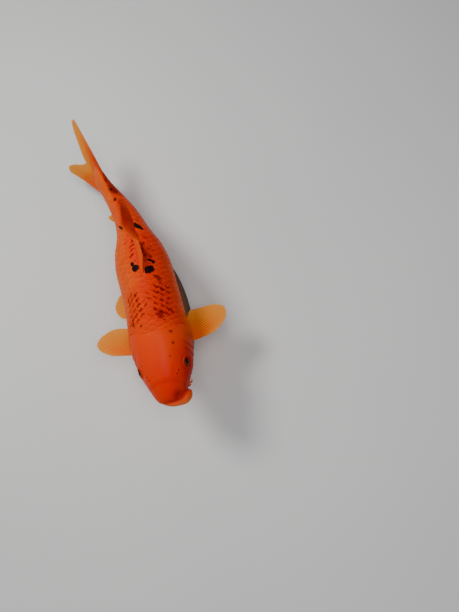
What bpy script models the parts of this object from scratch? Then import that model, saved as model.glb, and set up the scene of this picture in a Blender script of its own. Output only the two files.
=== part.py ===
"""A life-size koi carp on a plain display stand.

The fish swims towards -Y with its back up (+Z) and its left side towards +X, and the origin is the centre of
the stand's underside. The body is one loft along a bent axis, parted by thin cuts into head, trunk lengths
and tail stalk. Fins are fans of rays that start inside the body and are cut back to its surface. Units are
metres; stations are shares of BODY_LENGTH, counted from the snout; angles round the body start at the back
(0) and pass the left side (90).
"""

import math

import bmesh
import bpy
import numpy as np

MM = 0.001
GAP = 0.4 * MM  # air between pieces that touch

# ---- driving dimensions -------------------------------------------------------------------------------
BODY_LENGTH = 0.391  # snout to the end of the tail stalk
SNOUT = (-0.0300, -0.1637, 0.1500)  # front end of the body's axis; z is above the floor
PITCH = 8.0  # degrees, head above tail

ROUND_SEGMENTS = 32  # facets round the body
CURVE_STEP = 0.5 * MM  # spacing of the samples along the axis

# station: direction of the axis in plan, in degrees from +Y towards -X
HEADING = ((0.0, -11.5), (0.30, -11.2), (0.45, -7.0), (0.60, -6.2), (0.72, -2.0), (0.80, 6.5), (0.90, 11.0),
           (1.00, 12.0), (1.30, 19.0))
# station: lean of the back towards the fish's left side, in degrees
ROLL = ((0.0, -6.0), (0.15, -5.0), (0.30, 1.0), (0.45, 4.5), (0.65, 4.5), (0.80, 4.5), (0.90, 9.0), (1.00, 19.0),
        (1.30, 34.0))

# station, half width, back above axis, belly below axis, widest level below axis (mm),
# fullness of the upper and of the lower quarter (under 1 is boxy, over 1 is ridged)
SECTIONS = (
    (0.000, 11.5, 7.0, 4.5, 0.5, 1.00, 1.00),
    (0.012, 17.6, 13.8, 11.0, 3.0, 1.00, 1.00),
    (0.024, 21.0, 17.8, 16.5, 4.5, 0.97, 1.00),
    (0.037, 23.8, 21.2, 20.5, 6.0, 0.95, 0.95),
    (0.072, 29.8, 28.2, 26.5, 7.5, 0.90, 0.92),
    (0.111, 36.4, 33.4, 32.0, 9.0, 0.90, 0.90),
    (0.152, 40.4, 37.8, 37.0, 10.0, 0.92, 0.88),
    (0.190, 43.2, 41.4, 41.0, 10.0, 0.95, 0.86),
    (0.235, 44.2, 45.6, 44.5, 9.5, 1.00, 0.86),
    (0.280, 43.8, 49.5, 47.5, 8.0, 1.00, 0.86),
    (0.350, 42.6, 55.0, 51.0, 6.0, 1.00, 0.88),
    (0.430, 42.0, 58.5, 53.0, 4.0, 1.03, 0.90),
    (0.520, 42.3, 58.0, 52.5, 3.0, 1.05, 0.92),
    (0.600, 38.4, 53.0, 49.0, 2.0, 1.05, 0.95),
    (0.640, 33.0, 49.5, 46.0, 1.5, 1.05, 1.00),
    (0.690, 26.8, 44.5, 41.5, 1.0, 1.03, 1.00),
    (0.750, 22.2, 38.5, 36.5, 0.0, 1.00, 1.00),
    (0.800, 19.6, 33.0, 32.5, 0.0, 1.00, 1.00),
    (0.850, 16.6, 28.0, 28.5, 0.0, 1.00, 1.00),
    (0.900, 13.8, 24.5, 25.0, 0.0, 1.00, 1.00),
    (0.950, 10.6, 23.0, 23.0, 0.0, 1.00, 1.00),
    (1.000, 8.0, 25.0, 24.0, 0.0, 1.00, 1.00),
)

# where the trunk is parted, after the head
TRUNK_CUTS = (("trunk_front", 0.42), ("trunk_middle", 0.60), ("trunk_rear", 0.80), ("tail_stalk", 1.0))
RING_SPACING = 11.0 * MM

# gill covers: plates on the head's sides, between these angles
GILL_ANGLES = (50.0, 146.0)
GILL_FRONT = 0.168  # station of the front edge at mid height
GILL_THICKNESS = 2.6 * MM
GILL_BULGE = 0.9 * MM
GILL_TAPER = 0.66  # height of the front edge against the rear one
GILL_RADIUS = 40.0 * MM  # of the head at the gill covers

EYE_RADIUS = 7.4 * MM
EYE_STATION = 0.122
EYE_ANGLE = 61.0
EYE_DEPTH = 5.4 * MM  # centre of the ball under the surface

MOUTH_HALF_WIDTH = 19.5 * MM
MOUTH_HALF_HEIGHT = 9.4 * MM
MOUTH_DEPTH = 18.0 * MM
MOUTH_CENTRE = (6.0 * MM, -9.5 * MM, -4.8 * MM)  # to the fish's left, above the axis, and ahead of it
MOUTH_TURN = 35.0  # degrees that the mouth's plane faces downwards
MOUTH_SWEEP = 6.0 * MM  # how far the corners lie behind the lips' middles
# angle in the mouth's plane, from the left corner (0) over the upper lip's middle (90): the lips' radius (mm)
LIP_RADII = ((-90, 3.2), (-40, 3.0), (-10, 3.6), (10, 4.6), (30, 6.8), (48, 7.4), (68, 6.0), (90, 4.4), (130, 3.8),
             (180, 3.8), (230, 3.2), (270, 3.2))
LIP_PLAIN = 4.0 * MM  # a lip thicker than this bulges outwards, by this share of the rest
LIP_BULGE = 0.8
UPPER_LIP = dict(ends=(-6.0, 186.0), tip=3.0)
LOWER_LIP = dict(ends=(218.0, 322.0), tip=1.9)

# stand
BASE_LENGTH = 0.230
BASE_WIDTH = 0.100
BASE_THICKNESS = 0.016
BASE_EDGE = 2.0 * MM
ROD_RADIUS = 4.0 * MM
ROD_STATIONS = {"stand_rod_front": 0.30, "stand_rod_rear": 0.56}
COLLAR_RADIUS = 9.0 * MM
COLLAR_HEIGHT = 5.0 * MM


# ---- curves through tables ----------------------------------------------------------------------------
def through(points):
    """A smooth function through (x, y) points that never overshoots them."""
    x, y = (np.array(column, float) for column in zip(*points))
    rise = np.diff(y) / np.diff(x)
    before, after = rise[:-1], rise[1:]
    same_way = before * after > 0
    slope = np.zeros(len(x))
    slope[1:-1][same_way] = 2 / (1 / before[same_way] + 1 / after[same_way])
    slope[0], slope[-1] = rise[0], rise[-1]

    def value(at):
        at = np.clip(np.asarray(at, float), x[0], x[-1])
        i = np.clip(np.searchsorted(x, at, side="right") - 1, 0, len(x) - 2)
        span = x[i + 1] - x[i]
        t = (at - x[i]) / span
        return (
            y[i] * (1 + 2 * t) * (1 - t) ** 2
            + slope[i] * span * t * (1 - t) ** 2
            + y[i + 1] * t * t * (3 - 2 * t)
            + slope[i + 1] * span * t * t * (t - 1)
        )

    return value


def axis_samples():
    """Stations, points and frames (tailward, left, up) of the body's axis, out to the tail fin's end."""
    stations = np.arange(0, HEADING[-1][0] + 1e-9, CURVE_STEP / BODY_LENGTH)
    heading = np.radians(through(HEADING)(stations))
    roll = np.radians(through(ROLL)(stations))[:, None]
    pitch = math.radians(PITCH)
    tailward = np.stack([-np.sin(heading) * math.cos(pitch), np.cos(heading) * math.cos(pitch),
                         np.full_like(heading, -math.sin(pitch))], 1)
    level = np.stack([np.cos(heading), np.sin(heading), np.zeros_like(heading)], 1)
    upright = np.cross(level, tailward)
    steps = (tailward[:-1] + tailward[1:]) / 2 * CURVE_STEP
    points = np.array(SNOUT) + np.vstack([np.zeros(3), np.cumsum(steps, 0)])
    left = level * np.cos(roll) - upright * np.sin(roll)
    up = upright * np.cos(roll) + level * np.sin(roll)
    return stations, points, tailward, left, up


AXIS = axis_samples()
SECTION_CURVES = [through([(row[0], row[k]) for row in SECTIONS]) for k in range(1, 7)]


def along_axis(station):
    """Point, tailward, left and up of the axis at each station."""
    return [np.stack([np.interp(station, AXIS[0], column[:, k]) for k in range(3)], -1) for column in AXIS[1:]]


def outline(station, angle, grow=0.0):
    """Sideways and upwards distance of the body's surface from its axis, in metres."""
    width, back, belly, drop, upper, lower = (curve(station) for curve in SECTION_CURVES)
    sine, cosine = np.sin(angle), np.cos(angle)
    power = np.where(cosine >= 0, upper, lower)
    height = np.where(cosine >= 0, back + drop, belly - drop)
    side = (width * MM + grow) * np.sign(sine) * np.abs(sine) ** power
    return side, (height * MM + grow) * cosine - drop * MM


def skin_point(station, angle, grow=0.0):
    """The body's surface, moved out by grow. Station and angle (radians) may be arrays."""
    station, angle = np.broadcast_arrays(np.asarray(station, float), np.asarray(angle, float))
    point, _, left, up = along_axis(station)
    side, height = outline(station, angle, grow)
    return point + left * side[..., None] + up * height[..., None]


def neck_station(angle):
    """Rear edge of the head: nape on the back, gill cover on the sides, breast underneath."""
    cosine = np.cos(angle)
    return 0.254 - 0.014 * np.maximum(cosine, 0) ** 2 - 0.076 * np.maximum(-cosine, 0) ** 1.5


# ---- meshes -------------------------------------------------------------------------------------------
def collection(name):
    made = bpy.data.collections.new(name)
    bpy.context.scene.collection.children.link(made)
    return made


def mesh_object(name, points, faces, home, material=None):
    mesh = bpy.data.meshes.new(name)
    mesh.from_pydata([tuple(p) for p in points], [], faces)
    bm = bmesh.new()
    bm.from_mesh(mesh)
    bmesh.ops.recalc_face_normals(bm, faces=bm.faces)
    bm.to_mesh(mesh)
    bm.free()
    mesh.shade_smooth()
    mesh.set_sharp_from_angle(angle=math.radians(40))
    obj = bpy.data.objects.new(name, mesh)
    home.objects.link(obj)
    if material:
        mesh.materials.append(material)
    return obj


def loft(name, rings, home, material=None):
    """A closed solid through rings of points, with a fan of triangles on each end."""
    rings = np.asarray(rings)
    count, around = rings.shape[:2]
    points = [*rings.reshape(-1, 3), rings[0].mean(0), rings[-1].mean(0)]
    faces = []
    for k in range(count - 1):
        for j in range(around):
            n = (j + 1) % around
            faces.append((k * around + j, k * around + n, (k + 1) * around + n, (k + 1) * around + j))
    last = (count - 1) * around
    for j in range(around):
        n = (j + 1) % around
        faces.append((count * around, n, j))
        faces.append((count * around + 1, last + j, last + n))
    return mesh_object(name, points, faces, home, material)


def slab(name, upper, lower, home, material=None):
    """A closed solid between two grids of points of the same size."""
    rows, columns = upper.shape[:2]
    size = rows * columns
    points = [*upper.reshape(-1, 3), *lower.reshape(-1, 3)]
    faces = []
    for r in range(rows - 1):
        for c in range(columns - 1):
            a, b = r * columns + c, (r + 1) * columns + c
            faces.append((a, a + 1, b + 1, b))
            faces.append((size + a, size + b, size + b + 1, size + a + 1))
    border = [c for c in range(columns)] + [r * columns + columns - 1 for r in range(1, rows)]
    border += [(rows - 1) * columns + c for c in range(columns - 2, -1, -1)]
    border += [r * columns for r in range(rows - 2, 0, -1)]
    for a, b in zip(border, border[1:] + border[:1]):
        faces.append((a, size + a, size + b, b))
    return mesh_object(name, points, faces, home, material)


def subtract(obj, cutter):
    cut = obj.modifiers.new("cut_" + cutter.name, "BOOLEAN")
    cut.operation = "DIFFERENCE"
    cut.object = cutter


def material(name, colour, roughness, metallic=0.0):
    made = bpy.data.materials.new(name)
    made.use_nodes = True
    shader = made.node_tree.nodes["Principled BSDF"]
    shader.inputs["Base Color"].default_value = (*colour, 1.0)
    shader.inputs["Roughness"].default_value = roughness
    shader.inputs["Metallic"].default_value = metallic
    return made


def clear_scene():
    for obj in list(bpy.data.objects):
        bpy.data.objects.remove(obj)


# ---- body ---------------------------------------------------------------------------------------------
def ring_angles():
    return np.arange(ROUND_SEGMENTS) * 2 * math.pi / ROUND_SEGMENTS


def body_rings(front, rear, grow=0.0):
    """Rings of the body's surface between two edges, each a function of the angle or one station."""
    angle = ring_angles()
    start = front(angle) if callable(front) else np.full_like(angle, front)
    end = rear(angle) if callable(rear) else np.full_like(angle, rear)
    steps = max(2, round(float((end - start).mean()) * BODY_LENGTH / RING_SPACING))
    return [skin_point(start + (end - start) * k / steps, angle, grow) for k in range(steps + 1)]


def make_head(parts, skin):
    """The head, with closer rings on the snout, where it curves most."""
    snout_end = 0.037
    snout = [skin_point(station, ring_angles()) for station in (0.0, 0.006, 0.012, 0.024, snout_end)]
    return loft("head", snout + body_rings(snout_end, neck_station)[1:], parts, skin)


def make_trunk(parts, skin):
    gap = GAP / BODY_LENGTH
    front = lambda angle: neck_station(angle) + gap
    for name, rear in TRUNK_CUTS:
        loft(name, body_rings(front, rear), parts, skin)
        front = rear + gap


def gill_grid(side, margin, grow, behind=0.0):
    """A grid on one gill cover, moved out by grow. Margin widens it, and behind lengthens it to the rear."""
    low, high = (math.radians(a) for a in GILL_ANGLES)
    length = neck_station((low + high) / 2) - GILL_FRONT
    start, end = -margin / BODY_LENGTH / length, 1 + behind / length
    across = np.linspace(-1, 1, 9)[:, None]
    down = np.linspace(start, end, 7)
    half = (high - low) / 2 * (GILL_TAPER + (1 - GILL_TAPER) * np.sin(math.pi / 2 * np.clip(down * 1.6, 0, 1)))
    angle = (low + high) / 2 + across * (half + margin / GILL_RADIUS)
    front = GILL_FRONT + 0.012 * across**2 - 0.012 * np.maximum(across, 0) ** 2
    station = front + (neck_station(angle) - front) * down
    bulge = GILL_BULGE * (1 - across**2) * np.sin(math.pi * np.clip(down * 1.1, 0, 1))
    return skin_point(station, side * angle, grow + bulge)


def make_gill_covers(parts, cutters, head, skin):
    for name, side in (("left", 1), ("right", -1)):
        outer, inner = (gill_grid(side, 0.0, grow, -GAP / BODY_LENGTH) for grow in (0.0, -GILL_THICKNESS))
        slab(f"gill_cover_{name}", outer, inner, parts, skin)
        pocket = slab(
            f"gill_pocket_{name}",
            gill_grid(side, GAP, 6 * MM, 0.01),
            gill_grid(side, GAP, -GILL_THICKNESS - GAP, 0.01),
            cutters,
        )
        subtract(head, pocket)


def make_eyes(parts, cutters, head, eye):
    for name, side in (("left", 1), ("right", -1)):
        angle = side * math.radians(EYE_ANGLE)
        surface = skin_point(EYE_STATION, angle)
        inward = skin_point(EYE_STATION, angle, -1 * MM) - surface
        centre = surface + inward / np.linalg.norm(inward) * EYE_DEPTH
        for title, grow, home in ((f"eye_{name}", 0.0, parts), (f"eye_socket_{name}", GAP, cutters)):
            bpy.ops.mesh.primitive_uv_sphere_add(segments=14, ring_count=9, radius=EYE_RADIUS + grow,
                                                 location=centre)
            ball = bpy.context.object
            ball.name = title
            move_to(ball, home)
            if home is parts:
                ball.data.shade_smooth()
                ball.data.materials.append(eye)
            else:
                subtract(head, ball)


def move_to(obj, home):
    for old in list(obj.users_collection):
        old.objects.unlink(obj)
    home.objects.link(obj)


# ---- mouth --------------------------------------------------------------------------------------------
def mouth_frame():
    """Centre of the mouth, and its forward, left and up directions."""
    point, tailward, left, up = (v for v in along_axis(0.0))
    turn = math.radians(MOUTH_TURN)
    forward = -tailward * math.cos(turn) - up * math.sin(turn)
    upward = up * math.cos(turn) - tailward * math.sin(turn)
    centre = point + left * MOUTH_CENTRE[0] + up * MOUTH_CENTRE[1] - tailward * MOUTH_CENTRE[2]
    return centre, forward, left, upward


def tube(name, points, radii, home, sides=8, skin=None):
    """A tapered round bar along points, made as a curve and kept as a closed mesh."""
    data = bpy.data.curves.new(name, "CURVE")
    data.dimensions = "3D"
    data.bevel_depth = 1.0
    data.bevel_resolution = max(0, sides // 2 - 2)
    data.use_fill_caps = True
    line = data.splines.new("POLY")
    line.points.add(len(points) - 1)
    for spot, place, radius in zip(line.points, points, radii):
        spot.co = (*place, 1.0)
        spot.radius = radius
    curve = bpy.data.objects.new(name + "_curve", data)
    home.objects.link(curve)
    bpy.context.view_layer.update()
    mesh = bpy.data.meshes.new_from_object(curve.evaluated_get(bpy.context.evaluated_depsgraph_get()))
    bpy.data.objects.remove(curve)
    bm = bmesh.new()
    bm.from_mesh(mesh)
    bmesh.ops.remove_doubles(bm, verts=bm.verts, dist=1e-6)
    bmesh.ops.recalc_face_normals(bm, faces=bm.faces)
    bm.to_mesh(mesh)
    bm.free()
    mesh.materials.clear()
    mesh.shade_smooth()
    obj = bpy.data.objects.new(name, mesh)
    home.objects.link(obj)
    if skin:
        mesh.materials.append(skin)
    return obj


def lip_line(lip):
    """Points along one lip and their radii, thinner at the very ends."""
    centre, forward, left, up = mouth_frame()
    degrees = np.linspace(*lip["ends"], 17)
    turn = np.radians(degrees)
    full = through(LIP_RADII)((degrees + 90) % 360 - 90)
    ends = np.clip(np.minimum(np.arange(17), np.arange(17)[::-1]) / 3, 0, 1)
    radii = (lip["tip"] + (full - lip["tip"]) * ends) * MM
    aside, above = np.cos(turn) * MOUTH_HALF_WIDTH, np.sin(turn) * MOUTH_HALF_HEIGHT
    points = centre + left * aside[:, None] + up * above[:, None]
    points = points - forward * (np.cos(turn) ** 2 * MOUTH_SWEEP)[:, None]
    outward = left * (np.cos(turn) / MOUTH_HALF_WIDTH)[:, None] + up * (np.sin(turn) / MOUTH_HALF_HEIGHT)[:, None]
    outward /= np.linalg.norm(outward, axis=1)[:, None]
    bulge = np.maximum(radii - LIP_PLAIN, 0) * LIP_BULGE
    return points + outward * bulge[:, None], radii


def make_mouth(parts, cutters, head, skin):
    centre, forward, left, up = mouth_frame()
    bpy.ops.mesh.primitive_uv_sphere_add(segments=16, ring_count=10, radius=1.0)
    hollow = bpy.context.object
    hollow.name = "mouth_hollow"
    for vertex in hollow.data.vertices:
        x, y, z = vertex.co
        place = centre + left * x * MOUTH_HALF_WIDTH * 0.86 - forward * (y * MOUTH_DEPTH + x * x * MOUTH_SWEEP)
        vertex.co = place + up * z * MOUTH_HALF_HEIGHT * 0.72
    move_to(hollow, cutters)
    subtract(head, hollow)

    upper, lower = (
        tube(name, *lip_line(lip), parts, 8, skin) for name, lip in (("lip_upper", UPPER_LIP), ("lip_lower", LOWER_LIP))
    )
    for lip, shape in ((upper, UPPER_LIP), (lower, LOWER_LIP)):
        points, radii = lip_line(shape)
        seat = tube(lip.name + "_seat", points, radii + GAP, cutters, 8)
        subtract(head, seat)
        if lip is upper:
            subtract(lower, seat)


# station and angle of the root, length, radius at the root, and how far it turns down and out
BARBELS = {
    "barbel_left_front": (0.052, 108.0, 7.0, 1.3, 0.8),
    "barbel_right_front": (0.052, -108.0, 7.0, 1.3, 0.8),
    "barbel_left_rear": (0.066, 126.0, 15.0, 1.7, 0.9),
    "barbel_right_rear": (0.066, -126.0, 15.0, 1.7, 0.9),
}
BARBEL_ROOT = 3.0 * MM  # how far a barbel starts under the skin


def make_barbels(parts, clearance, skin):
    for name, (station, degrees, length, radius, droop) in BARBELS.items():
        angle = math.radians(degrees)
        root = skin_point(station, angle)
        outward = root - skin_point(station, angle, -1 * MM)
        outward /= np.linalg.norm(outward)
        _, tailward, _, up = along_axis(station)
        along = np.linspace(-BARBEL_ROOT / MM / length, 1, 9)
        bend = np.maximum(along, 0)[:, None] ** 1.5
        reach = along[:, None] * length * MM
        direction = outward * (1 - 0.7 * bend) - up * droop * bend + tailward * 0.5 * bend
        points = root + direction * reach
        radii = radius * MM * (1 - 0.62 * np.maximum(along, 0))
        subtract(tube(name, points, radii, parts, 6, skin), clearance)


# ---- fins ---------------------------------------------------------------------------------------------
# front and rear: station and angle of the base's ends. From the first ray to the last, back: degrees that
# they lean to the tail, around: degrees round the body that they point to, and reach: their lengths (mm).
# bow: how far (mm) the longest ray's end is bent out of the fin's plane. root: thickness at the base (mm).
FINS = {
    "pectoral_fin_left": dict(front=(0.221, 128), rear=(0.265, 122), back=(10, 61), around=(97, 104),
                              reach=(40, 60, 71.5, 74.5, 68, 57, 46, 37, 30), bow=-5, root=5.5),
    "pectoral_fin_right": dict(front=(0.217, -128), rear=(0.250, -122), back=(12, 60), around=(-97, -104),
                               reach=(46, 65, 72, 70, 63.5, 56, 47.5, 38, 30), bow=5, root=5.5),
    "pelvic_fin_left": dict(front=(0.380, 160), rear=(0.417, 166), back=(45, 82), around=(146, 156),
                            reach=(40, 52, 59, 60, 55, 46, 36), bow=-3, root=4.0),
    "pelvic_fin_right": dict(front=(0.380, -160), rear=(0.417, -166), back=(14, 70), around=(-102, -118),
                             reach=(40, 52, 59, 60, 55, 46, 36), bow=3, root=4.0),
    "dorsal_fin": dict(front=(0.415, -4), rear=(0.775, 0), back=(50, 60), around=(20, 18, -12, -60, -48, -48, -50, -45),
                       reach=(27, 29, 23, 28, 28.5, 24, 17, 11), bow=0.5, root=4.0),
    "anal_fin": dict(front=(0.795, 180), rear=(0.856, 180), back=(44, 64), around=(238, 240),
                     reach=(30, 45, 32, 22, 16), bow=-3, root=3.2),
}
FIN_SINK = 9.0 * MM  # how far a fin's rays start under the skin
FIN_EDGE = 0.7 * MM  # thickness at a fin's edge
FIN_GRID = {"dorsal_fin": (19, 5), "anal_fin": (8, 5)}
FIN_DEFAULT_GRID = (12, 7)


def fin_middle(spec, columns, rows):
    """The fin's middle surface, as a grid of points with the rays' ends last, and its normals."""
    share = np.linspace(0, 1, columns)
    spread = lambda values: through(list(zip(np.linspace(0, 1, len(values)), values)))(share)
    station, degrees = (spread(ends) for ends in zip(spec["front"], spec["rear"]))
    back, around = np.radians(spread(spec["back"])), np.radians(spread(spec["around"]))
    _, tailward, left, up = along_axis(station)
    outward = up * np.cos(around)[:, None] + left * np.sin(around)[:, None]
    ray = outward * np.cos(back)[:, None] + tailward * np.sin(back)[:, None]
    reach = spread(spec["reach"]) * MM
    root = skin_point(station, np.radians(degrees)) - outward * FIN_SINK
    normal = np.cross(tailward, outward)
    normal /= np.linalg.norm(normal, axis=1)[:, None]
    along = np.linspace(0, 1, rows)
    full = reach + FIN_SINK
    bent = along**2 * spec["bow"] * MM
    grid = root[:, None] + ray[:, None] * (full[:, None] * along)[..., None]
    grid = grid + normal[:, None] * (bent * (full / full.max())[:, None])[..., None]
    return grid, normal


def make_fins(parts, clearance, fin_material):
    for name, spec in FINS.items():
        columns, rows = FIN_GRID.get(name, FIN_DEFAULT_GRID)
        grid, normal = fin_middle(spec, columns, rows)
        along = np.linspace(0, 1, rows)
        half = (FIN_EDGE + (spec["root"] * MM - FIN_EDGE) * (1 - along) ** 1.6) / 2
        offset = normal[:, None] * half[None, :, None]
        fin = slab(name, grid + offset, grid - offset, parts, fin_material)
        subtract(fin, clearance)


# height of the tail fin's ray ends above the axis, against their distance behind the body (mm)
TAIL_ROOT = 4.6 * MM
TAIL_LOBES = {
    "tail_fin_upper": dict(sign=1, base=23.0, tips=((98, 53), (104, 45), (96, 34), (82, 24), (68, 14), (57, 5), (52, 0.3))),
    "tail_fin_lower": dict(sign=-1, base=22.0, tips=((96, 50), (102, 43), (94, 33), (81, 23), (67, 14), (57, 5), (52, 0.3))),
}


def make_tail_fin(parts, fin_material):
    columns, rows = 12, 8
    for name, lobe in TAIL_LOBES.items():
        share = np.linspace(0, 1, columns)
        marks = np.linspace(0, 1, len(lobe["tips"]))
        behind, height = (through(list(zip(marks, column)))(share) * MM for column in zip(*lobe["tips"]))
        base = (lobe["base"] * (1 - share) + 0.3 * share) * MM
        along = np.linspace(0, 1, rows)
        distance = GAP + (behind[:, None] - GAP) * along
        spread = base[:, None] + (height - base)[:, None] * along ** 0.9
        point, _, left, up = along_axis(1.0 + distance / BODY_LENGTH)
        grid = point + up * (lobe["sign"] * spread)[..., None]
        half = (FIN_EDGE + (TAIL_ROOT - FIN_EDGE) * (1 - along) ** 2.2) / 2
        offset = left * half[None, :, None]
        slab(name, grid + offset, grid - offset, parts, fin_material)


# ---- stand --------------------------------------------------------------------------------------------
def make_stand(parts, clearance, metal, wood):
    foot = {name: along_axis(station)[0][:2] for name, station in ROD_STATIONS.items()}
    along = foot["stand_rod_rear"] - foot["stand_rod_front"]

    bpy.ops.mesh.primitive_cylinder_add(vertices=48, radius=0.5, depth=BASE_THICKNESS)
    base = bpy.context.object
    base.name = "stand_base"
    for vertex in base.data.vertices:
        vertex.co.x *= BASE_WIDTH
        vertex.co.y *= BASE_LENGTH
        vertex.co.z += BASE_THICKNESS / 2
    base.rotation_euler.z = math.atan2(-along[0], along[1])
    bevel = base.modifiers.new("edge", "BEVEL")
    bevel.width, bevel.segments = BASE_EDGE, 2
    bevel.limit_method = "ANGLE"
    base.data.materials.append(wood)
    move_to(base, parts)

    for name, place in foot.items():
        bpy.ops.mesh.primitive_cylinder_add(vertices=20, radius=ROD_RADIUS, depth=SNOUT[2] - BASE_THICKNESS,
                                            location=(*place, (SNOUT[2] + BASE_THICKNESS) / 2 + GAP))
        rod = bpy.context.object
        rod.name = name
        rod.data.materials.append(metal)
        move_to(rod, parts)
        subtract(rod, clearance)
        make_collar(name.replace("rod", "collar"), place, parts, metal)


def make_collar(name, place, parts, metal):
    """A turned ring round a rod's foot, on the base."""
    inner, low = ROD_RADIUS + GAP, BASE_THICKNESS + GAP
    top = low + COLLAR_HEIGHT
    chamfer = 1.5 * MM
    profile = [(inner, top), (COLLAR_RADIUS - chamfer, top), (COLLAR_RADIUS, top - chamfer), (COLLAR_RADIUS, low),
               (inner, low)]
    mesh = bpy.data.meshes.new(name)
    count = len(profile)
    mesh.from_pydata([(r, 0, z) for r, z in profile], [(k, (k + 1) % count) for k in range(count)], [])
    obj = bpy.data.objects.new(name, mesh)
    obj.location = (*place, 0)
    parts.objects.link(obj)
    screw = obj.modifiers.new("turn", "SCREW")
    screw.steps = screw.render_steps = 20
    screw.use_merge_vertices = True
    screw.merge_threshold = 1e-5
    mesh.materials.append(metal)


# ---- the whole ----------------------------------------------------------------------------------------
def main():
    clear_scene()
    parts, cutters = collection("koi_carp"), collection("cutters")
    skin = material("skin", (0.80, 0.10, 0.012), 0.30)
    fins = material("fin", (0.78, 0.27, 0.035), 0.35)
    eye = material("eye", (0.02, 0.015, 0.012), 0.08)
    metal = material("steel", (0.62, 0.62, 0.63), 0.32, 1.0)
    wood = material("wood", (0.16, 0.075, 0.035), 0.45)

    clearance = loft("body_clearance", body_rings(0.0, 1.0, GAP), cutters)
    head = make_head(parts, skin)
    make_trunk(parts, skin)
    make_gill_covers(parts, cutters, head, skin)
    make_eyes(parts, cutters, head, eye)
    make_mouth(parts, cutters, head, skin)
    make_barbels(parts, clearance, skin)
    make_fins(parts, clearance, fins)
    make_tail_fin(parts, fins)
    make_stand(parts, clearance, metal, wood)
    for helper in cutters.objects:
        helper.hide_render = True
        helper.display_type = "WIRE"


main()
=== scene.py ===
"""The looks of the koi carp model: skin, scales, rayed fins, eyes, barbels, stand, floor, lights and camera.

Stations run along the body from 0 at the snout to 1 at the end of the tail stalk. Angles run round it from the
back, and the fish's left is +.
"""

import math

import bpy
import numpy as np
from mathutils import Matrix, Vector


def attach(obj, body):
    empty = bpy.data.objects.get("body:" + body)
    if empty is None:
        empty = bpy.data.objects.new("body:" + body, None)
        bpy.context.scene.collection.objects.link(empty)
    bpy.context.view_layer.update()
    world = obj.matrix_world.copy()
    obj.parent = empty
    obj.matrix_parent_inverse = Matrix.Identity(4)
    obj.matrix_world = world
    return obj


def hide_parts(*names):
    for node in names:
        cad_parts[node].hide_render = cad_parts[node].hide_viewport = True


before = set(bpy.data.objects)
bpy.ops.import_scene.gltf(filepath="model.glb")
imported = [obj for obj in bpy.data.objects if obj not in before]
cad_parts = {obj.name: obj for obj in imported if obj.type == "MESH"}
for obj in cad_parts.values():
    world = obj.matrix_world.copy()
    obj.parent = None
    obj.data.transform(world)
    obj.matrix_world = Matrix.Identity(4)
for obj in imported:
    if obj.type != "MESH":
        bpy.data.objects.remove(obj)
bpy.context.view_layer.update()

MM = 0.001
BODY_LENGTH = 0.391
SNOUT = (-0.03, -0.1637, 0.15)
PITCH = 8.0  # degrees that the axis falls towards the tail
CURVE_STEP = 0.5 * MM
COAT = 1.5 * MM  # how far the skin lies under the scales' outer surface

# station, degrees
HEADING = (
    (0, -11.5), (0.3, -11.2), (0.45, -7), (0.6, -6.2), (0.72, -2), (0.8, 6.5), (0.9, 11), (1, 12), (1.3, 19),
)
ROLL = ((0, -6), (0.15, -5), (0.3, 1), (0.45, 4.5), (0.65, 4.5), (0.8, 4.5), (0.9, 9), (1, 19), (1.3, 34))
# station, half width, heights of back and belly, drop of the widest line (mm), powers of the upper and lower half
SECTIONS = (
    (0, 11.5, 7, 4.5, 0.5, 1, 1), (0.012, 17.6, 13.8, 11, 3, 1, 1),
    (0.024, 21, 17.8, 16.5, 4.5, 0.97, 1), (0.037, 23.8, 21.2, 20.5, 6, 0.95, 0.95),
    (0.072, 29.8, 28.2, 26.5, 7.5, 0.9, 0.92), (0.111, 36.4, 33.4, 32, 9, 0.9, 0.9),
    (0.152, 40.4, 37.8, 37, 10, 0.92, 0.88), (0.19, 43.2, 41.4, 41, 10, 0.95, 0.86),
    (0.235, 44.2, 45.6, 44.5, 9.5, 1, 0.86), (0.28, 43.8, 49.5, 47.5, 8, 1, 0.86),
    (0.35, 42.6, 55, 51, 6, 1, 0.88), (0.43, 42, 58.5, 53, 4, 1.03, 0.9),
    (0.52, 42.3, 58, 52.5, 3, 1.05, 0.92), (0.6, 38.4, 53, 49, 2, 1.05, 0.95),
    (0.64, 33, 49.5, 46, 1.5, 1.05, 1), (0.69, 26.8, 44.5, 41.5, 1, 1.03, 1),
    (0.75, 22.2, 38.5, 36.5, 0, 1, 1), (0.8, 19.6, 33, 32.5, 0, 1, 1),
    (0.85, 16.6, 28, 28.5, 0, 1, 1), (0.9, 13.8, 24.5, 25, 0, 1, 1),
    (0.95, 10.6, 23, 23, 0, 1, 1), (1, 8, 25, 24, 0, 1, 1),
)


# ---- the body's surface ----------------------
def through(points):
    """A smooth curve through points (x, y) that doesn't overshoot them."""
    x, y = (np.array(column, float) for column in zip(*points))
    rise = np.diff(y) / np.diff(x)
    before, after = rise[:-1], rise[1:]
    same_way = before * after > 0
    slope = np.zeros(len(x))
    slope[1:-1][same_way] = 2 / (1 / before[same_way] + 1 / after[same_way])
    slope[0], slope[-1] = rise[0], rise[-1]

    def value(at):
        at = np.clip(np.asarray(at, float), x[0], x[-1])
        i = np.clip(np.searchsorted(x, at, side="right") - 1, 0, len(x) - 2)
        span = x[i + 1] - x[i]
        t = (at - x[i]) / span
        return (y[i] * (1 + 2 * t) * (1 - t) ** 2 + slope[i] * span * t * (1 - t) ** 2
                + y[i + 1] * t * t * (3 - 2 * t) + slope[i + 1] * span * t * t * (t - 1))

    return value


def smooth(low, high, x):
    """0 below low, 1 above high, and an S between."""
    t = np.clip((np.asarray(x, float) - low) / (high - low), 0, 1)
    return t * t * (3 - 2 * t)


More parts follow.
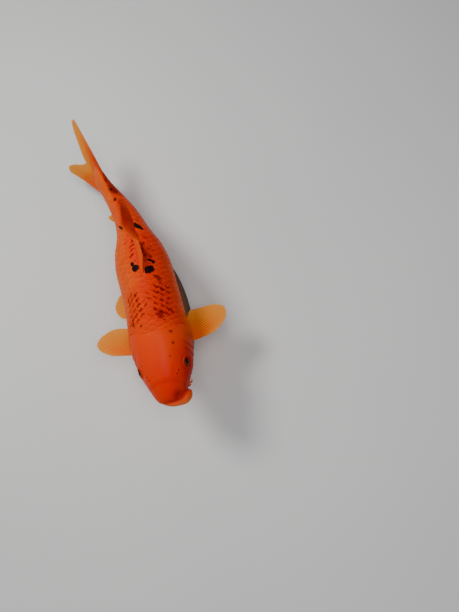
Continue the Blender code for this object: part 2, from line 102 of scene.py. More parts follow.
def fade(low, high, x):
    """1 below low, 0 above high, and an S between."""
    return 1 - smooth(low, high, x)


def band(x, low, high, soft):
    """1 from low to high, with an S of plus and minus soft at both ends."""
    return smooth(low - soft, low + soft, x) * fade(high - soft, high + soft, x)


def bell(x, width=1.0):
    return np.exp(-((x / width) ** 2))


def shares(count):
    return np.linspace(0, 1, count)


def unit(vector):
    return vector / np.linalg.norm(vector, axis=-1, keepdims=True)


def signed(angle):
    """The same angle between -180 and 180 degrees (in radians)."""
    return (angle + math.pi) % (2 * math.pi) - math.pi


def from_back(angle):
    """Degrees from the back, on either side."""
    return np.degrees(np.abs(signed(angle)))


def turns(sides):
    return np.arange(sides) * 2 * math.pi / sides


def circle(first, second, sides):
    """Rings of unit radius, from two directions across their axis."""
    turn = turns(sides)[:, None]
    return first[..., None, :] * np.cos(turn) + second[..., None, :] * np.sin(turn)


def axis_samples():
    stations = np.arange(0, HEADING[-1][0] + 1e-9, CURVE_STEP / BODY_LENGTH)
    heading = np.radians(through(HEADING)(stations))
    roll = np.radians(through(ROLL)(stations))[:, None]
    pitch = math.radians(PITCH)
    tailward = np.stack([-np.sin(heading) * math.cos(pitch), np.cos(heading) * math.cos(pitch),
                         np.full_like(heading, -math.sin(pitch))], 1)
    level = np.stack([np.cos(heading), np.sin(heading), np.zeros_like(heading)], 1)
    upright = np.cross(level, tailward)
    steps = (tailward[:-1] + tailward[1:]) / 2 * CURVE_STEP
    points = np.array(SNOUT) + np.vstack([np.zeros(3), np.cumsum(steps, 0)])
    left = level * np.cos(roll) - upright * np.sin(roll)
    up = upright * np.cos(roll) + level * np.sin(roll)
    return stations, points, tailward, left, up


AXIS = axis_samples()
SECTION_CURVES = [through([(row[0], row[k]) for row in SECTIONS]) for k in range(1, 7)]


def along_axis(station):
    """The axis's point, and the directions tailward, left and up there. Stations may lie ahead of the snout."""
    station = np.asarray(station, float)
    made = [np.stack([np.interp(station, AXIS[0], column[:, k]) for k in range(3)], -1) for column in AXIS[1:]]
    made[0] = made[0] + made[1] * (np.minimum(station, 0)[..., None] * BODY_LENGTH)
    return made


def outline(station, angle, grow=0.0):
    """Offsets to the left and up from the axis to the section's edge."""
    width, back, belly, drop, upper, lower = (curve(station) for curve in SECTION_CURVES)
    sine, cosine = np.sin(angle), np.cos(angle)
    power = np.where(cosine >= 0, upper, lower)
    height = np.where(cosine >= 0, back + drop, belly - drop)
    side = (width * MM + grow) * np.sign(sine) * np.abs(sine) ** power
    return side, (height * MM + grow) * cosine - drop * MM


def on_section(station, side, height):
    point, _, left, up = along_axis(station)
    return point + left * side[..., None] + up * height[..., None]


def skin_point(station, angle, grow=0.0):
    station, angle = np.broadcast_arrays(np.asarray(station, float), np.asarray(angle, float))
    return on_section(station, *outline(station, angle, grow))


def outward(station, angle):
    return unit(skin_point(station, angle) - skin_point(station, angle, -1 * MM))


def neck_station(angle):
    """Where the head ends: the gill slit's line."""
    cosine = np.cos(angle)
    return 0.254 - 0.014 * np.maximum(cosine, 0) ** 2 - 0.076 * np.maximum(-cosine, 0) ** 1.5


def scale_line(angle):
    """Where the scales begin: ahead of the gill slit on the nape, at it elsewhere."""
    return neck_station(angle) - 0.024 * fade(20, 52, from_back(angle))


TAIL_ROOT_END = 1.072


def tail_root_share(station):
    return np.clip((station - 1.0) / (TAIL_ROOT_END - 1.0), 0, 1)


def tail_root_width(station):
    """Beyond the end of the stalk the body thins into the tail fin."""
    return 0.03 + 0.97 * (1 - tail_root_share(station)) ** 1.5


GIRTH_ROWS, GIRTH_COLUMNS = 300, 360
GIRTH_STATIONS = shares(GIRTH_ROWS + 1)


def girth_tables():
    """Arc from the back round each side, and its inverse in shares of half the girth."""
    angles = np.linspace(0, math.pi, GIRTH_COLUMNS + 1)
    side, height = outline(GIRTH_STATIONS[:, None], angles[None, :])
    arc = np.hypot(np.diff(side, axis=1), np.diff(height, axis=1))
    arc = np.hstack([np.zeros((len(arc), 1)), np.cumsum(arc, 1)])
    share = shares(GIRTH_COLUMNS + 1)
    return arc, np.array([np.interp(share * row[-1], row, angles) for row in arc])


ARC, ARC_BACK = girth_tables()


def table(grid, station, share):
    """Bilinear look-up of a girth table."""
    r, c = (np.clip(at * size, 0, size - 0.001) for at, size in ((station, GIRTH_ROWS), (share, GIRTH_COLUMNS)))
    i, j = r.astype(int), c.astype(int)
    r, c = r - i, c - j
    top = grid[i, j] * (1 - c) + grid[i, j + 1] * c
    return top * (1 - r) + (grid[i + 1, j] * (1 - c) + grid[i + 1, j + 1] * c) * r


def half_girth(station):
    return np.interp(station, GIRTH_STATIONS, ARC[:, -1])


def arc_at(station, angle):
    """Signed arc from the back (m), for angles from -180 to 180 degrees (in radians)."""
    return np.sign(angle) * table(ARC, station, np.abs(angle) / math.pi)


def angle_at(station, arc):
    """The angle at a signed arc from the back. It may run past the belly."""
    share = np.abs(arc) / half_girth(station)
    past = share > 1
    found = table(ARC_BACK, station, np.where(past, 2 - share, share))
    return np.where(arc < 0, -1, 1) * np.where(past, 2 * math.pi - found, found)


# ---- markings: the same on skin and scales ---
# station, degrees, half length along and across the body (mm), turn (degrees)
BLACK_SPOTS = (
    (0.468, -15.5, 5.8, 5.8, 0), (0.489, -19.5, 3.4, 3.2, 0), (0.449, 11.2, 6.2, 7.8, -8),
    (0.486, 18, 2.2, 6.4, 22), (0.477, 22.5, 2.2, 3, 0), (0.654, 16.5, 4.8, 10.6, 40),
    (0.642, 21.5, 3.2, 3.6, 0), (0.687, 23.5, 1.8, 2.2, 0), (0.683, -36, 10, 2, -28),
    (0.895, -1, 2.6, 2, 20), (0.832, -13, 2.4, 2, 0), (0.497, -12.5, 1, 1.8, 0),
    (0.279, -41, 3, 2.2, 30), (0.262, -22, 2.6, 1.8, 30), (0.263, 21, 1.3, 1.6, 0),
)
# red spots; the long marks on the back's left beside the dorsal fin, stations 0.5 to 0.6, are partly painted shadow
# cast by the fin
RED_SPOTS_AND_FIN_SHADOW = (
    (0.412, 25, 5.6, 5.2, 0), (0.418, 22, 3, 6.4, 20), (0.535, 8.5, 24, 2.6, -4), (0.508, 12.5, 6, 3.2, 16),
    (0.56, 14.5, 5, 2.6, 12), (0.535, 21.5, 4.6, 2.6, 30), (0.5, 21, 4, 2.2, -20), (0.286, 15.5, 5.6, 6.6, 0),
    (0.223, 30, 2.6, 4.4, 0), (0.184, 30.5, 2.6, 2.2, 0), (0.046, 68, 3.2, 2, 30), (0.038, 86, 3, 1.8, 0),
    (0.139, 21.5, 1.8, 1.8, 0), (0.9, 4, 13, 6.4, 4), (0.88, 16, 9, 5, 12), (0.95, -2, 10, 2.6, 0),
    (0.834, -11, 5, 3.6, 0), (0.595, 6.5, 9, 2.4, 0),
)
# where scales carry flecks: strength, first and last station, first and last degree
NET_ZONES = (
    (1.00, 0.262, 0.392, 2, 40), (0.85, 0.262, 0.385, -50, -14), (0.6, 0.262, 0.4, -14, 2),
    (0.55, 0.39, 0.44, 8, 40), (0.85, 0.49, 0.6, -24, -9, 0.02, 4), (0.75, 0.49, 0.6, 16, 30),
)
NO_SPOT = -5.0
EYE_RADIUS, EYE_STATION, EYE_ANGLE, EYE_DEPTH = 7.4 * MM, 0.122, 61.0, 5.4 * MM


def spot_field(spots, station, angle):
    """1 at a spot's centre, 0 at its rim, falling on outside it: the greatest over all spots."""
    best = np.full(np.broadcast(station, angle).shape, -9.0)
    arc = arc_at(station, angle)
    for at, degrees, half_along, half_across, turn in spots:
        along = (station - at) * BODY_LENGTH / MM
        across = (arc - arc_at(at, np.radians(degrees))) / MM
        c, s = math.cos(math.radians(turn)), math.sin(math.radians(turn))
        reach = np.hypot((along * c + across * s) / half_along, (across * c - along * s) / half_across)
        best = np.maximum(best, 1 - reach)
    return best


def body_attributes(station, angle):
    """Fields that the colours are mixed from."""
    angle = signed(angle)
    degrees = np.degrees(angle)
    away = np.abs(degrees)

    def zone(start, end, low, high, soft=0.02, soft_degrees=7.0):
        return band(station, start, end, soft) * band(degrees, low, high, soft_degrees)

    forehead = 0.35 * fade(0.1, 0.25, station)
    snout = 0.75 * bell((station - 0.045) / 0.07) * bell((degrees - 30) / 70)
    # painted shade: the fish's left face, away from the key light, is painted a deeper red
    left_face_shade = 0.8 * smooth(14, 60, degrees) * fade(115, 160, degrees) * fade(0.15, 0.24, station)
    back = 0.62 * zone(0.24, 0.62, -6, 60, 0.03, 12) + 0.3 * zone(0.6, 0.98, -10, 60, 0.05, 20)
    # painted shade: a dark band along the back by the dorsal fin's rear, where the fin leans over and shades it
    shade_behind_dorsal = smooth(0.66, 0.7, station) * fade(0.8, 0.85, station) * bell(
        (degrees - 190 * (station - 0.79)) / 15)
    # painted shade on the stalk's top and left, the side away from the key light
    stalk = smooth(0.82, 0.88, station) * smooth(-18, 0, degrees) * fade(34, 76, degrees)
    # painted shade on the fish's left cheek, away from the key light
    cheek = 0.65 * zone(0.02, 0.24, 58, 118, 0.03, 14)
    # painted shade in the crease between snout and lip on the left, and round each eye's socket
    lip_fold_shade = 0.8 * bell(np.hypot((station - 0.018) * 60, (degrees - 44) / 22))
    socket = 0.6 * bell(np.hypot((station - EYE_STATION) * BODY_LENGTH / MM, (away - EYE_ANGLE) * 0.6), 9.0)
    return {
        # flank: amber on both flanks; the extra amber on the right of the stalk is painted light, on the side the
        # key light falls on
        "flank": np.maximum(smooth(38, 100, away), 0.85 * zone(0.84, 1.2, -170, -24, 0.05, 12)),
        "belly": smooth(112, 158, away),
        "net": np.maximum.reduce([strength * zone(*place) for strength, *place in NET_ZONES]),
        # red: the koi's own red on forehead, snout and back, with painted shade on the left face
        "red": np.clip(forehead + snout + left_face_shade + back, 0, 1),
        # painted light: paler peach on the fish's right flank and stalk, the side the key light falls on
        "painted_light": 0.2 * zone(0.86, 1.2, -170, -8, 0.05, 10) + 0.35 * zone(0.3, 0.86, -120, -24, 0.05, 14),
        # dark: painted shade, all of it
        "dark": np.maximum.reduce([shade_behind_dorsal, stalk, cheek, lip_fold_shade, socket]),
        "ink": spot_field(BLACK_SPOTS, station, angle),
        "red_spots_and_shadow": spot_field(RED_SPOTS_AND_FIN_SHADOW, station, angle),
    }


# ---- meshes ----------------------------------
def facing_out(points, faces):
    """True if the faces of a closed mesh look outwards."""
    a, b, c, d = (points[faces[:, k]] for k in range(4))
    return (np.einsum("ij,ij->i", a, np.cross(b, c)) + np.einsum("ij,ij->i", a, np.cross(c, d))).sum() > 0


def new_mesh(name, points, faces, material):
    mesh = bpy.data.meshes.new(name)
    mesh.from_pydata(points.reshape(-1, 3).tolist(), [], faces.tolist())
    mesh.materials.append(material)
    return mesh


def link(name, data):
    """A new object of the scene, holding the data."""
    made = bpy.data.objects.new(name, data)
    bpy.context.scene.collection.objects.link(made)
    return made


def mesh_piece(name, points, faces, material, attributes, uv, replaces=()):
    """A closed mesh from points and quads, with point attributes and a corner map named OFBake."""
    points = points.reshape(-1, 3)
    uv = uv.reshape(len(faces), 4, 2)
    if not facing_out(points, faces):
        faces, uv = faces[:, ::-1], uv[:, ::-1]
    mesh = new_mesh(name, points, faces, material)
    for title, values in attributes.items():
        layer = mesh.attributes.new(title, "FLOAT", "POINT")
        layer.data.foreach_set("value", np.asarray(values, np.float32).ravel())
    layer = mesh.uv_layers.new(name="OFBake")
    layer.data.foreach_set("uv", uv.astype(np.float32).ravel())
    mesh.shade_smooth()
    piece = link(name, mesh)
    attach(piece, "root")
    if replaces:
        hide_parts(*replaces)
    return piece


def grid_faces(rows, columns, wrap):
    """Quads of a grid of points, its rows closed on themselves if wrap."""
    r = np.arange(rows - 1)[:, None]
    c = np.arange(columns if wrap else columns - 1)[None, :]
    n = (c + 1) % columns
    near, far = r * columns, (r + 1) * columns
    return np.stack([near + c, near + n, far + n, far + c], -1).reshape(-1, 4)


def sheet_faces(rows, columns, first=0):
    """Quads of a closed sheet: a grid of points, the same grid on its other face, and the rim between them, whose
    quads begin at the given corner."""
    size = rows * columns
    grid, index = grid_faces(rows, columns, False), np.arange(size).reshape(rows, columns)
    border = np.concatenate([index[0], index[1:, -1], index[-1, -2::-1], index[-2:0:-1, 0]])
    after = np.roll(border, -1)
    rim = np.stack([border, border + size, after + size, after], 1)
    return np.vstack([grid, grid[:, ::-1] + size, np.roll(rim, -first, 1)])


def ring_normals(points):
    """Normals of a grid whose rows are closed rings."""
    across = np.roll(points, -1, 1) - np.roll(points, 1, 1)
    return unit(np.cross(across, np.gradient(points, axis=0)))


def closed_tube(name, grid, material, fields, replaces):
    """A piece from rings of points, with a centre point closing each end."""
    rows, columns = grid.shape[:2]
    u = np.arange(columns + 1) / columns * 0.98 + 0.01
    length = np.concatenate([[0], np.cumsum(np.linalg.norm(np.diff(grid, axis=0), axis=-1).mean(1))])
    v = length / length[-1] * 0.97 + 0.015
    chart = np.stack(np.meshgrid(u, v), -1).reshape(-1, 2)
    faces, maps = [grid_faces(rows, columns, True)], [chart[grid_faces(rows, columns + 1, False)]]
    # each cap's quad takes two columns, so that the mesh stays all quads
    pair = np.arange(0, columns, 2)
    for end, row, tip, order in ((0, 0, 0.002, (2, 1, 0)), (1, rows - 1, 0.998, (0, 1, 2))):
        centre = np.full(len(pair), rows * columns + end)
        faces.append(np.stack([centre] + [row * columns + (pair + k) % columns for k in order], 1))
        places = [(u[pair + 1], tip)] + [(u[pair + k], v[row]) for k in order]
        maps.append(np.stack([np.stack(np.broadcast_arrays(*place), -1) for place in places], 1))
    flat = {}
    for key, value in fields.items():
        value = np.broadcast_to(value, (rows, columns)).reshape(-1)
        flat[key] = np.append(value, [value[0], value[-1]])
    points = np.vstack([grid.reshape(-1, 3), grid[0].mean(0), grid[-1].mean(0)])
    return mesh_piece(name, points, np.vstack(faces), material, flat, np.vstack(maps), replaces)


# ---- materials -------------------------------
class Value:
    """A node's output, which can be added, subtracted and multiplied."""

    def __init__(self, graph, socket):
        self.graph, self.socket = graph, socket

    def __add__(self, other):
        return self.graph.math("ADD", self, other)

    def __sub__(self, other):
        return self.graph.math("SUBTRACT", self, other)

    def __mul__(self, other):
        return self.graph.math("MULTIPLY", self, other)

    def __abs__(self):
        return self.graph.math("ABSOLUTE", self)


class Graph:
    """A material's nodes. Inputs may be numbers, colours or values."""

    def __init__(self, name):
        self.material = bpy.data.materials.new(name)
        self.material.use_nodes = True
        self.tree = self.material.node_tree
        self.shader = self.tree.nodes["Principled BSDF"]
        self.place = Value(self, self.tree.nodes.new("ShaderNodeTexCoord").outputs["Object"])

    def put(self, socket, value):
        if isinstance(value, Value):
            self.tree.links.new(value.socket, socket)
        else:
            socket.default_value = (*value, 1) if socket.type == "RGBA" else value

    def node(self, kind, inputs, output, **settings):
        """A node's output, with its inputs by name or number."""
        made = self.tree.nodes.new(kind)
        for key, value in settings.items():
            setattr(made, key, value)
        for key, value in inputs.items():
            self.put(made.inputs[key], value)
        return Value(self, made.outputs[output])

    def __getitem__(self, name):
        """A point attribute of the mesh."""
        return self.node("ShaderNodeAttribute", {}, "Fac", attribute_name=name)

    def math(self, operation, first, second=0, clamp=False):
        return self.node("ShaderNodeMath", {0: first, 1: second}, 0, operation=operation, use_clamp=clamp)

    def range(self, value, low, high, to_low=0, to_high=1):
        """The value's S-shaped way from low to high, brought to another range."""
        inputs = dict(enumerate((value, low, high, to_low, to_high)))
        return self.node("ShaderNodeMapRange", inputs, 0, interpolation_type="SMOOTHSTEP")

    def mix(self, share, first, second):
        return self.node("ShaderNodeMix", {0: share, 6: first, 7: second}, 2, data_type="RGBA")

    def over(self, colour, *layers):
        """Layers (share, colour), one over the other."""
        for share, layer in layers:
            colour = self.mix(share, colour, layer)
        return colour

    def noise(self, scale, detail, place=None):
        inputs = {"Vector": place or self.place, "Scale": scale, "Detail": detail, "Roughness": 0.55}
        return self.node("ShaderNodeTexNoise", inputs, "Fac")

    def stretched(self, *scale):
        return self.node("ShaderNodeMapping", {"Vector": self.place, "Scale": scale}, 0)

    def bump(self, height, distance, strength):
        inputs = {"Height": height, "Distance": distance, "Strength": strength}
        self.set(Normal=self.node("ShaderNodeBump", inputs, 0))

    def set(self, **values):
        for key, value in values.items():
            self.put(self.shader.inputs[key.replace("_", " ")], value)


ORANGE, RED, AMBER = (0.87, 0.058, 0.001), (0.8, 0.012, 0.001), (0.88, 0.16, 0.001)
# peach is painted light, and the deep red after cream is painted shade
PAINTED_LIGHT_PEACH, CREAM, PAINTED_SHADE_RED = (0.88, 0.23, 0.02), (0.86, 0.42, 0.12), (0.24, 0.006, 0.002)
RED_SPOT_AND_SHADOW, INK = (0.16, 0.002, 0.001), (0.01, 0.005, 0.005)
LIP, CREASE_SHADE, MOUTH_SHADE, GRAIN = (0.9, 0.22, 0.045), (0.3, 0.008, 0.003), (0.24, 0.02, 0.01), (0.6, 0.03, 0.003)
SCALE_CENTRE, SCALE_RIM, SCALE_TONE = (0.45, 0.014, 0.001), (0.9, 0.24, 0.015), (0.62, 0.022, 0.001)
FLECK, FLECK_DEEP = (0.33, 0.005, 0.001), (0.13, 0.002, 0.001)
FIN_ORANGE, FIN_AMBER, FIN_PALE = (0.86, 0.11, 0.001), (0.84, 0.2, 0.002), (0.86, 0.4, 0.07)
FIN_RAY, FIN_GAP, FIN_JOINT = (0.88, 0.4, 0.07), (0.54, 0.085, 0.001), (0.45, 0.1, 0.01)
FIN_DORSAL, FIN_RIM = (0.86, 0.068, 0.002), (0.88, 0.55, 0.22)
FIN_BASE, FIN_SHADE_RED = (0.877, 0.1, 0.002), (0.5, 0.012, 0.001)
IRIS, IRIS_LIGHT, IRIS_EDGE = (0.11, 0.014, 0.003), (0.21, 0.036, 0.004), (0.06, 0.008, 0.004)
IRIS_RING, PUPIL = (0.34, 0.09, 0.008), (0.004, 0.004, 0.005)
OAK, OAK_DARK, OAK_PORE = (0.15, 0.066, 0.03), (0.085, 0.034, 0.016), (0.05, 0.02, 0.01)
STEEL_GREY, STEEL_LIGHT = (0.58, 0.58, 0.6), (0.66, 0.66, 0.67)
FLOOR_GREY, FLOOR_LIGHT = (0.82, 0.825, 0.82), (0.86, 0.86, 0.85)


def body_colour(g):
    """The koi's ground colours, shared by skin and scales, with painted light on the lit right side and painted
    shade mixed in.
    """
    cloud, grain = g.noise(38, 4), g.noise(420, 3)
    red = g.math("MULTIPLY", g["red"], g.range(cloud, 0.25, 0.75, 0.7, 1.2), clamp=True)
    # painted shade: deep red behind the dorsal fin, on the left of stalk and cheek, in the lip's crease and round
    # the eyes
    dark = g["dark"] * g.range(cloud, 0.3, 0.7, 0.65, 1)
    colour = g.over(
        ORANGE, (g["flank"] * g.range(cloud, 0.2, 0.8, 0.4, 0.8), AMBER), (g["belly"] * 0.65, CREAM), (red, RED),
        (g["painted_light"] * g.range(cloud, 0.3, 0.7, 0.5, 1), PAINTED_LIGHT_PEACH), (dark, PAINTED_SHADE_RED))
    return colour, cloud, grain


def add_spots(g, colour):
    """Rust-red spots, partly painted shadow of the dorsal fin, and then black spots, with ragged edges."""
    ink = g["ink"] + (g.noise(300, 4) - 0.5) * 0.9
    red_spots_and_shadow = g["red_spots_and_shadow"] + (g.noise(230, 3) - 0.5) * 2.2
    return g.over(colour, (g.range(red_spots_and_shadow, -0.2, 0.55) * 0.75, RED_SPOT_AND_SHADOW), (g.range(ink, -0.04, 0.1), INK))


def skin_material():
    g = Graph("koi_skin")
    colour, cloud, grain = body_colour(g)
    # painted shade: deep red in the head's creases and pits, round the eyes and nostrils, under the gill cover's
    # edge and at the barbels' roots; darker red inside the mouth
    colour = g.over(colour, (g["lip"] * 0.85, LIP), (g["fold"] * 0.85, CREASE_SHADE), (g["mouth"], MOUTH_SHADE),
                    (g.range(grain, 0.35, 0.7, 0, 0.16), GRAIN))
    g.set(Base_Color=add_spots(g, colour), Roughness=g.range(cloud, 0.3, 0.7, 0.34, 0.44))
    g.set(Coat_Weight=0.02, Coat_Roughness=0.12, Specular_IOR_Level=0.04)
    pores = g.node("ShaderNodeTexVoronoi", {"Vector": g.place, "Scale": 900}, "Distance")
    g.bump(g.noise(190, 4) * 0.8 + pores * 0.25, 0.0005, 0.6)
    return g.material


def scale_material():
    g = Graph("koi_scales")
    colour, cloud, grain = body_colour(g)
    along, across, tone, net = g["along"], g["across"], g["tone"], g["net"]
    # the exposed rear of each scale: a paler rim, a deeper centre, and fine rays
    colour = g.over(colour, (g.range(along, 0.4, 0.72, 0.45, 0), SCALE_CENTRE),
                    (g.range(along, 0.82, 1) * 0.22, SCALE_RIM), (g.range(tone, 0, 1, 0, 0.26), SCALE_TONE))
    # dark slanting flecks on the scales of the net zones
    uneven = g.noise(260, 3) - 0.5
    slant = along + across * 0.3 + uneven * 0.55
    aside = abs(across - (tone - 0.5) * 0.7)
    fleck = g.range(abs(slant - 0.8), 0.17, 0.05) * g.range(aside + uneven * 1.2, 0.75, 0.3)
    chosen = g.range(net * 1.5 - tone, 0, 0.85)
    colour = g.mix(net * g.range(g.noise(150, 3), 0.4, 0.65, 0.15, 0.8), colour, RED)
    deep = g.mix(g.range(g.noise(90, 2), 0.4, 0.62), FLECK, FLECK_DEEP)
    colour = g.mix(fleck * chosen * 0.92, colour, deep)
    g.set(Base_Color=add_spots(g, colour), Roughness=g.range(cloud, 0.3, 0.7, 0.36, 0.46))
    g.set(Specular_IOR_Level=0.025)
    rays = g.math("SINE", across * 44)
    g.bump(rays * g.range(along, 0.45, 0.95, 0, 0.2) + grain, 0.00025, 0.55)
    return g.material


def fin_material():
    g = Graph("koi_fin")
    along, ray = g["along"], g["ray"]
    cloud, grain = g.noise(60, 4), g.noise(500, 3)
    warm = along + (cloud - 0.5) * 0.35
    gap = g.range(ray, 0.3, 0) * g.range(along, 0.15, 0.5)
    joint = g.math("SINE", (along + g["share"] * 0.6) * 190)
    colour = g.over(
        FIN_ORANGE, (g.range(warm, 0.1, 0.6), FIN_AMBER), (g.range(warm, 0.5, 1.05, 0, 0.55), FIN_PALE),
        (g.range(ray, 0.25, 0.9) * 0.6, FIN_RAY), (gap * 0.75, FIN_GAP), (g.range(joint, 0.5, 1) * 0.1, FIN_JOINT),
        (g["deep"], FIN_DORSAL), (g.range(g["rim"], 0.35, 1, 0, 0.7), FIN_RIM), (g["base"] * 0.85, FIN_BASE),
        # painted shade on the dorsal fin's rear and the upper tail lobe's root
        (g["fin_shade"] * g.range(cloud, 0.3, 0.6, 0.75, 1), FIN_SHADE_RED))
    g.set(Base_Color=colour, Roughness=g.range(grain, 0.3, 0.7, 0.32, 0.44), Specular_IOR_Level=0.01)
    g.bump(joint * 0.18 + grain, 0.00025, 0.5)
    return g.material


def eye_material():
    """Pupil, a light ring, the mottled iris and its dark edge, by the reach from the eye's axis."""
    g = Graph("koi_eye")
    reach, mottle = g["reach"], g.noise(700, 4)
    edge = reach + (mottle - 0.5) * 0.05
    colour = g.over(IRIS, (g.range(mottle, 0.35, 0.65), IRIS_LIGHT), (g.range(edge, 0.7, 0.8), IRIS_EDGE),
                    (g.range(edge, 0.62, 0.58), IRIS_RING), (g.range(reach, 0.575, 0.555), PUPIL))
    g.set(Base_Color=colour, Roughness=0.12, Coat_Weight=0.05, Coat_Roughness=0.03, Specular_IOR_Level=0.06)
    g.bump(mottle, 0.0001, 0.25)
    return g.material


def wood_material():
    g = Graph("stand_wood")
    place = g.stretched(1, 0.06, 1)
    wave = {"Vector": place, "Scale": 55, "Distortion": 5, "Detail": 3, "Detail Scale": 1.6}
    rings = g.node("ShaderNodeTexWave", wave, "Fac", wave_type="RINGS")
    streak = g.noise(900, 4, place)
    colour = g.over(OAK, (g.range(rings, 0.15, 0.9), OAK_DARK), (g.range(streak, 0.5, 0.72, 0, 0.6), OAK_PORE))
    g.set(Base_Color=colour, Roughness=g.range(streak, 0.3, 0.7, 0.3, 0.44), Coat_Weight=0.35, Coat_Roughness=0.2)
    g.bump(streak, 0.0002, 0.35)
    return g.material


def steel_material():
    g = Graph("stand_steel")
    brushed = g.noise(500, 4, g.stretched(1, 1, 14))
    colour = g.mix(g.range(brushed, 0.3, 0.7), STEEL_GREY, STEEL_LIGHT)
    g.set(Base_Color=colour, Metallic=1, Roughness=g.range(brushed, 0.3, 0.7, 0.24, 0.38))
    g.bump(brushed, 0.00008, 0.35)
    return g.material


def floor_material():
    g = Graph("studio_floor")
    g.set(Base_Color=g.mix(g.range(g.noise(1.6, 2), 0.3, 0.7), FLOOR_GREY, FLOOR_LIGHT), Roughness=0.75)
    return g.material


SKIN, SCALES, FIN, EYE = skin_material(), scale_material(), fin_material(), eye_material()
WOOD, STEEL, FLOOR = wood_material(), steel_material(), floor_material()

# ---- mouth -----------------------------------
MOUTH_HALF_WIDTH = 19.5 * MM
MOUTH_HALF_HEIGHT = 9.4 * MM
MOUTH_LEFT, MOUTH_UP, MOUTH_BACK = 6.0 * MM, -9.5 * MM, 5.4 * MM  # its centre from the snout
MOUTH_TURN = 35.0  # degrees that the mouth looks down
MOUTH_SWEEP = 6.0 * MM  # how far its corners lie back
MOUTH_DEPTH = 15.0 * MM
# degrees round the mouth from the fish's left, the lip's radius (mm)
LIP_RADII = through(((-90, 3.2), (-40, 3), (-10, 3.6), (10, 4.6), (30, 6.8), (48, 7.4), (68, 6.2), (90, 5.2),
                     (130, 4.8), (165, 4.4), (200, 3.8), (230, 3.3), (270, 3.2)))
LIP_PLAIN = 4.0 * MM
LIP_BULGE = 0.8  # the share of a thicker lip that stands outwards
LIP_FIRST_TONE = -118  # degrees round the lip from its front, inside the mouth


def mouth_frame():
    point, tailward, left, up = along_axis(0.0)
    turn = math.radians(MOUTH_TURN)
    forward = -tailward * math.cos(turn) - up * math.sin(turn)
    upward = up * math.cos(turn) - tailward * math.sin(turn)
    return point + left * MOUTH_LEFT + up * MOUTH_UP + tailward * MOUTH_BACK, forward, left, upward


def lip_line(turn):
    """The lips' centre line, the way outwards from the mouth, and the lip's radius."""
    centre, forward, left, up = mouth_frame()
    radius = LIP_RADII((np.degrees(turn) + 90) % 360 - 90) * MM
    cosine, sine = np.cos(turn)[:, None], np.sin(turn)[:, None]
    line = centre + left * cosine * MOUTH_HALF_WIDTH + up * sine * MOUTH_HALF_HEIGHT
    line = line - forward * cosine**2 * MOUTH_SWEEP
    out = unit(left * cosine / MOUTH_HALF_WIDTH + up * sine / MOUTH_HALF_HEIGHT)
    return line + out * (np.maximum(radius - LIP_PLAIN, 0) * LIP_BULGE)[:, None], out, radius


# ---- skin ------------------------------------
COLUMNS = 320
THETA = turns(COLUMNS)
GILL_FRONT, CHEEK_REAR = 0.176, 0.15  # stations of the two grooves at mid height
THROAT_FOLDS = (0.112, 0.136, 0.16)
MOUTH_CORNER = (0.06, 103.0)
LIP_HOLLOW = (0.013, 44.0)
NOSTRILS = ((0.08, 37.0), (0.092, 40.0))


def gill_side(degrees):
    """1 on the part of the flank that the gill cover takes up."""
    return band(degrees, 52, 148, 8)


def eye_frame(side):
    angle = side * math.radians(EYE_ANGLE)
    axis = outward(EYE_STATION, angle)
    return skin_point(EYE_STATION, angle) - axis * EYE_DEPTH, axis


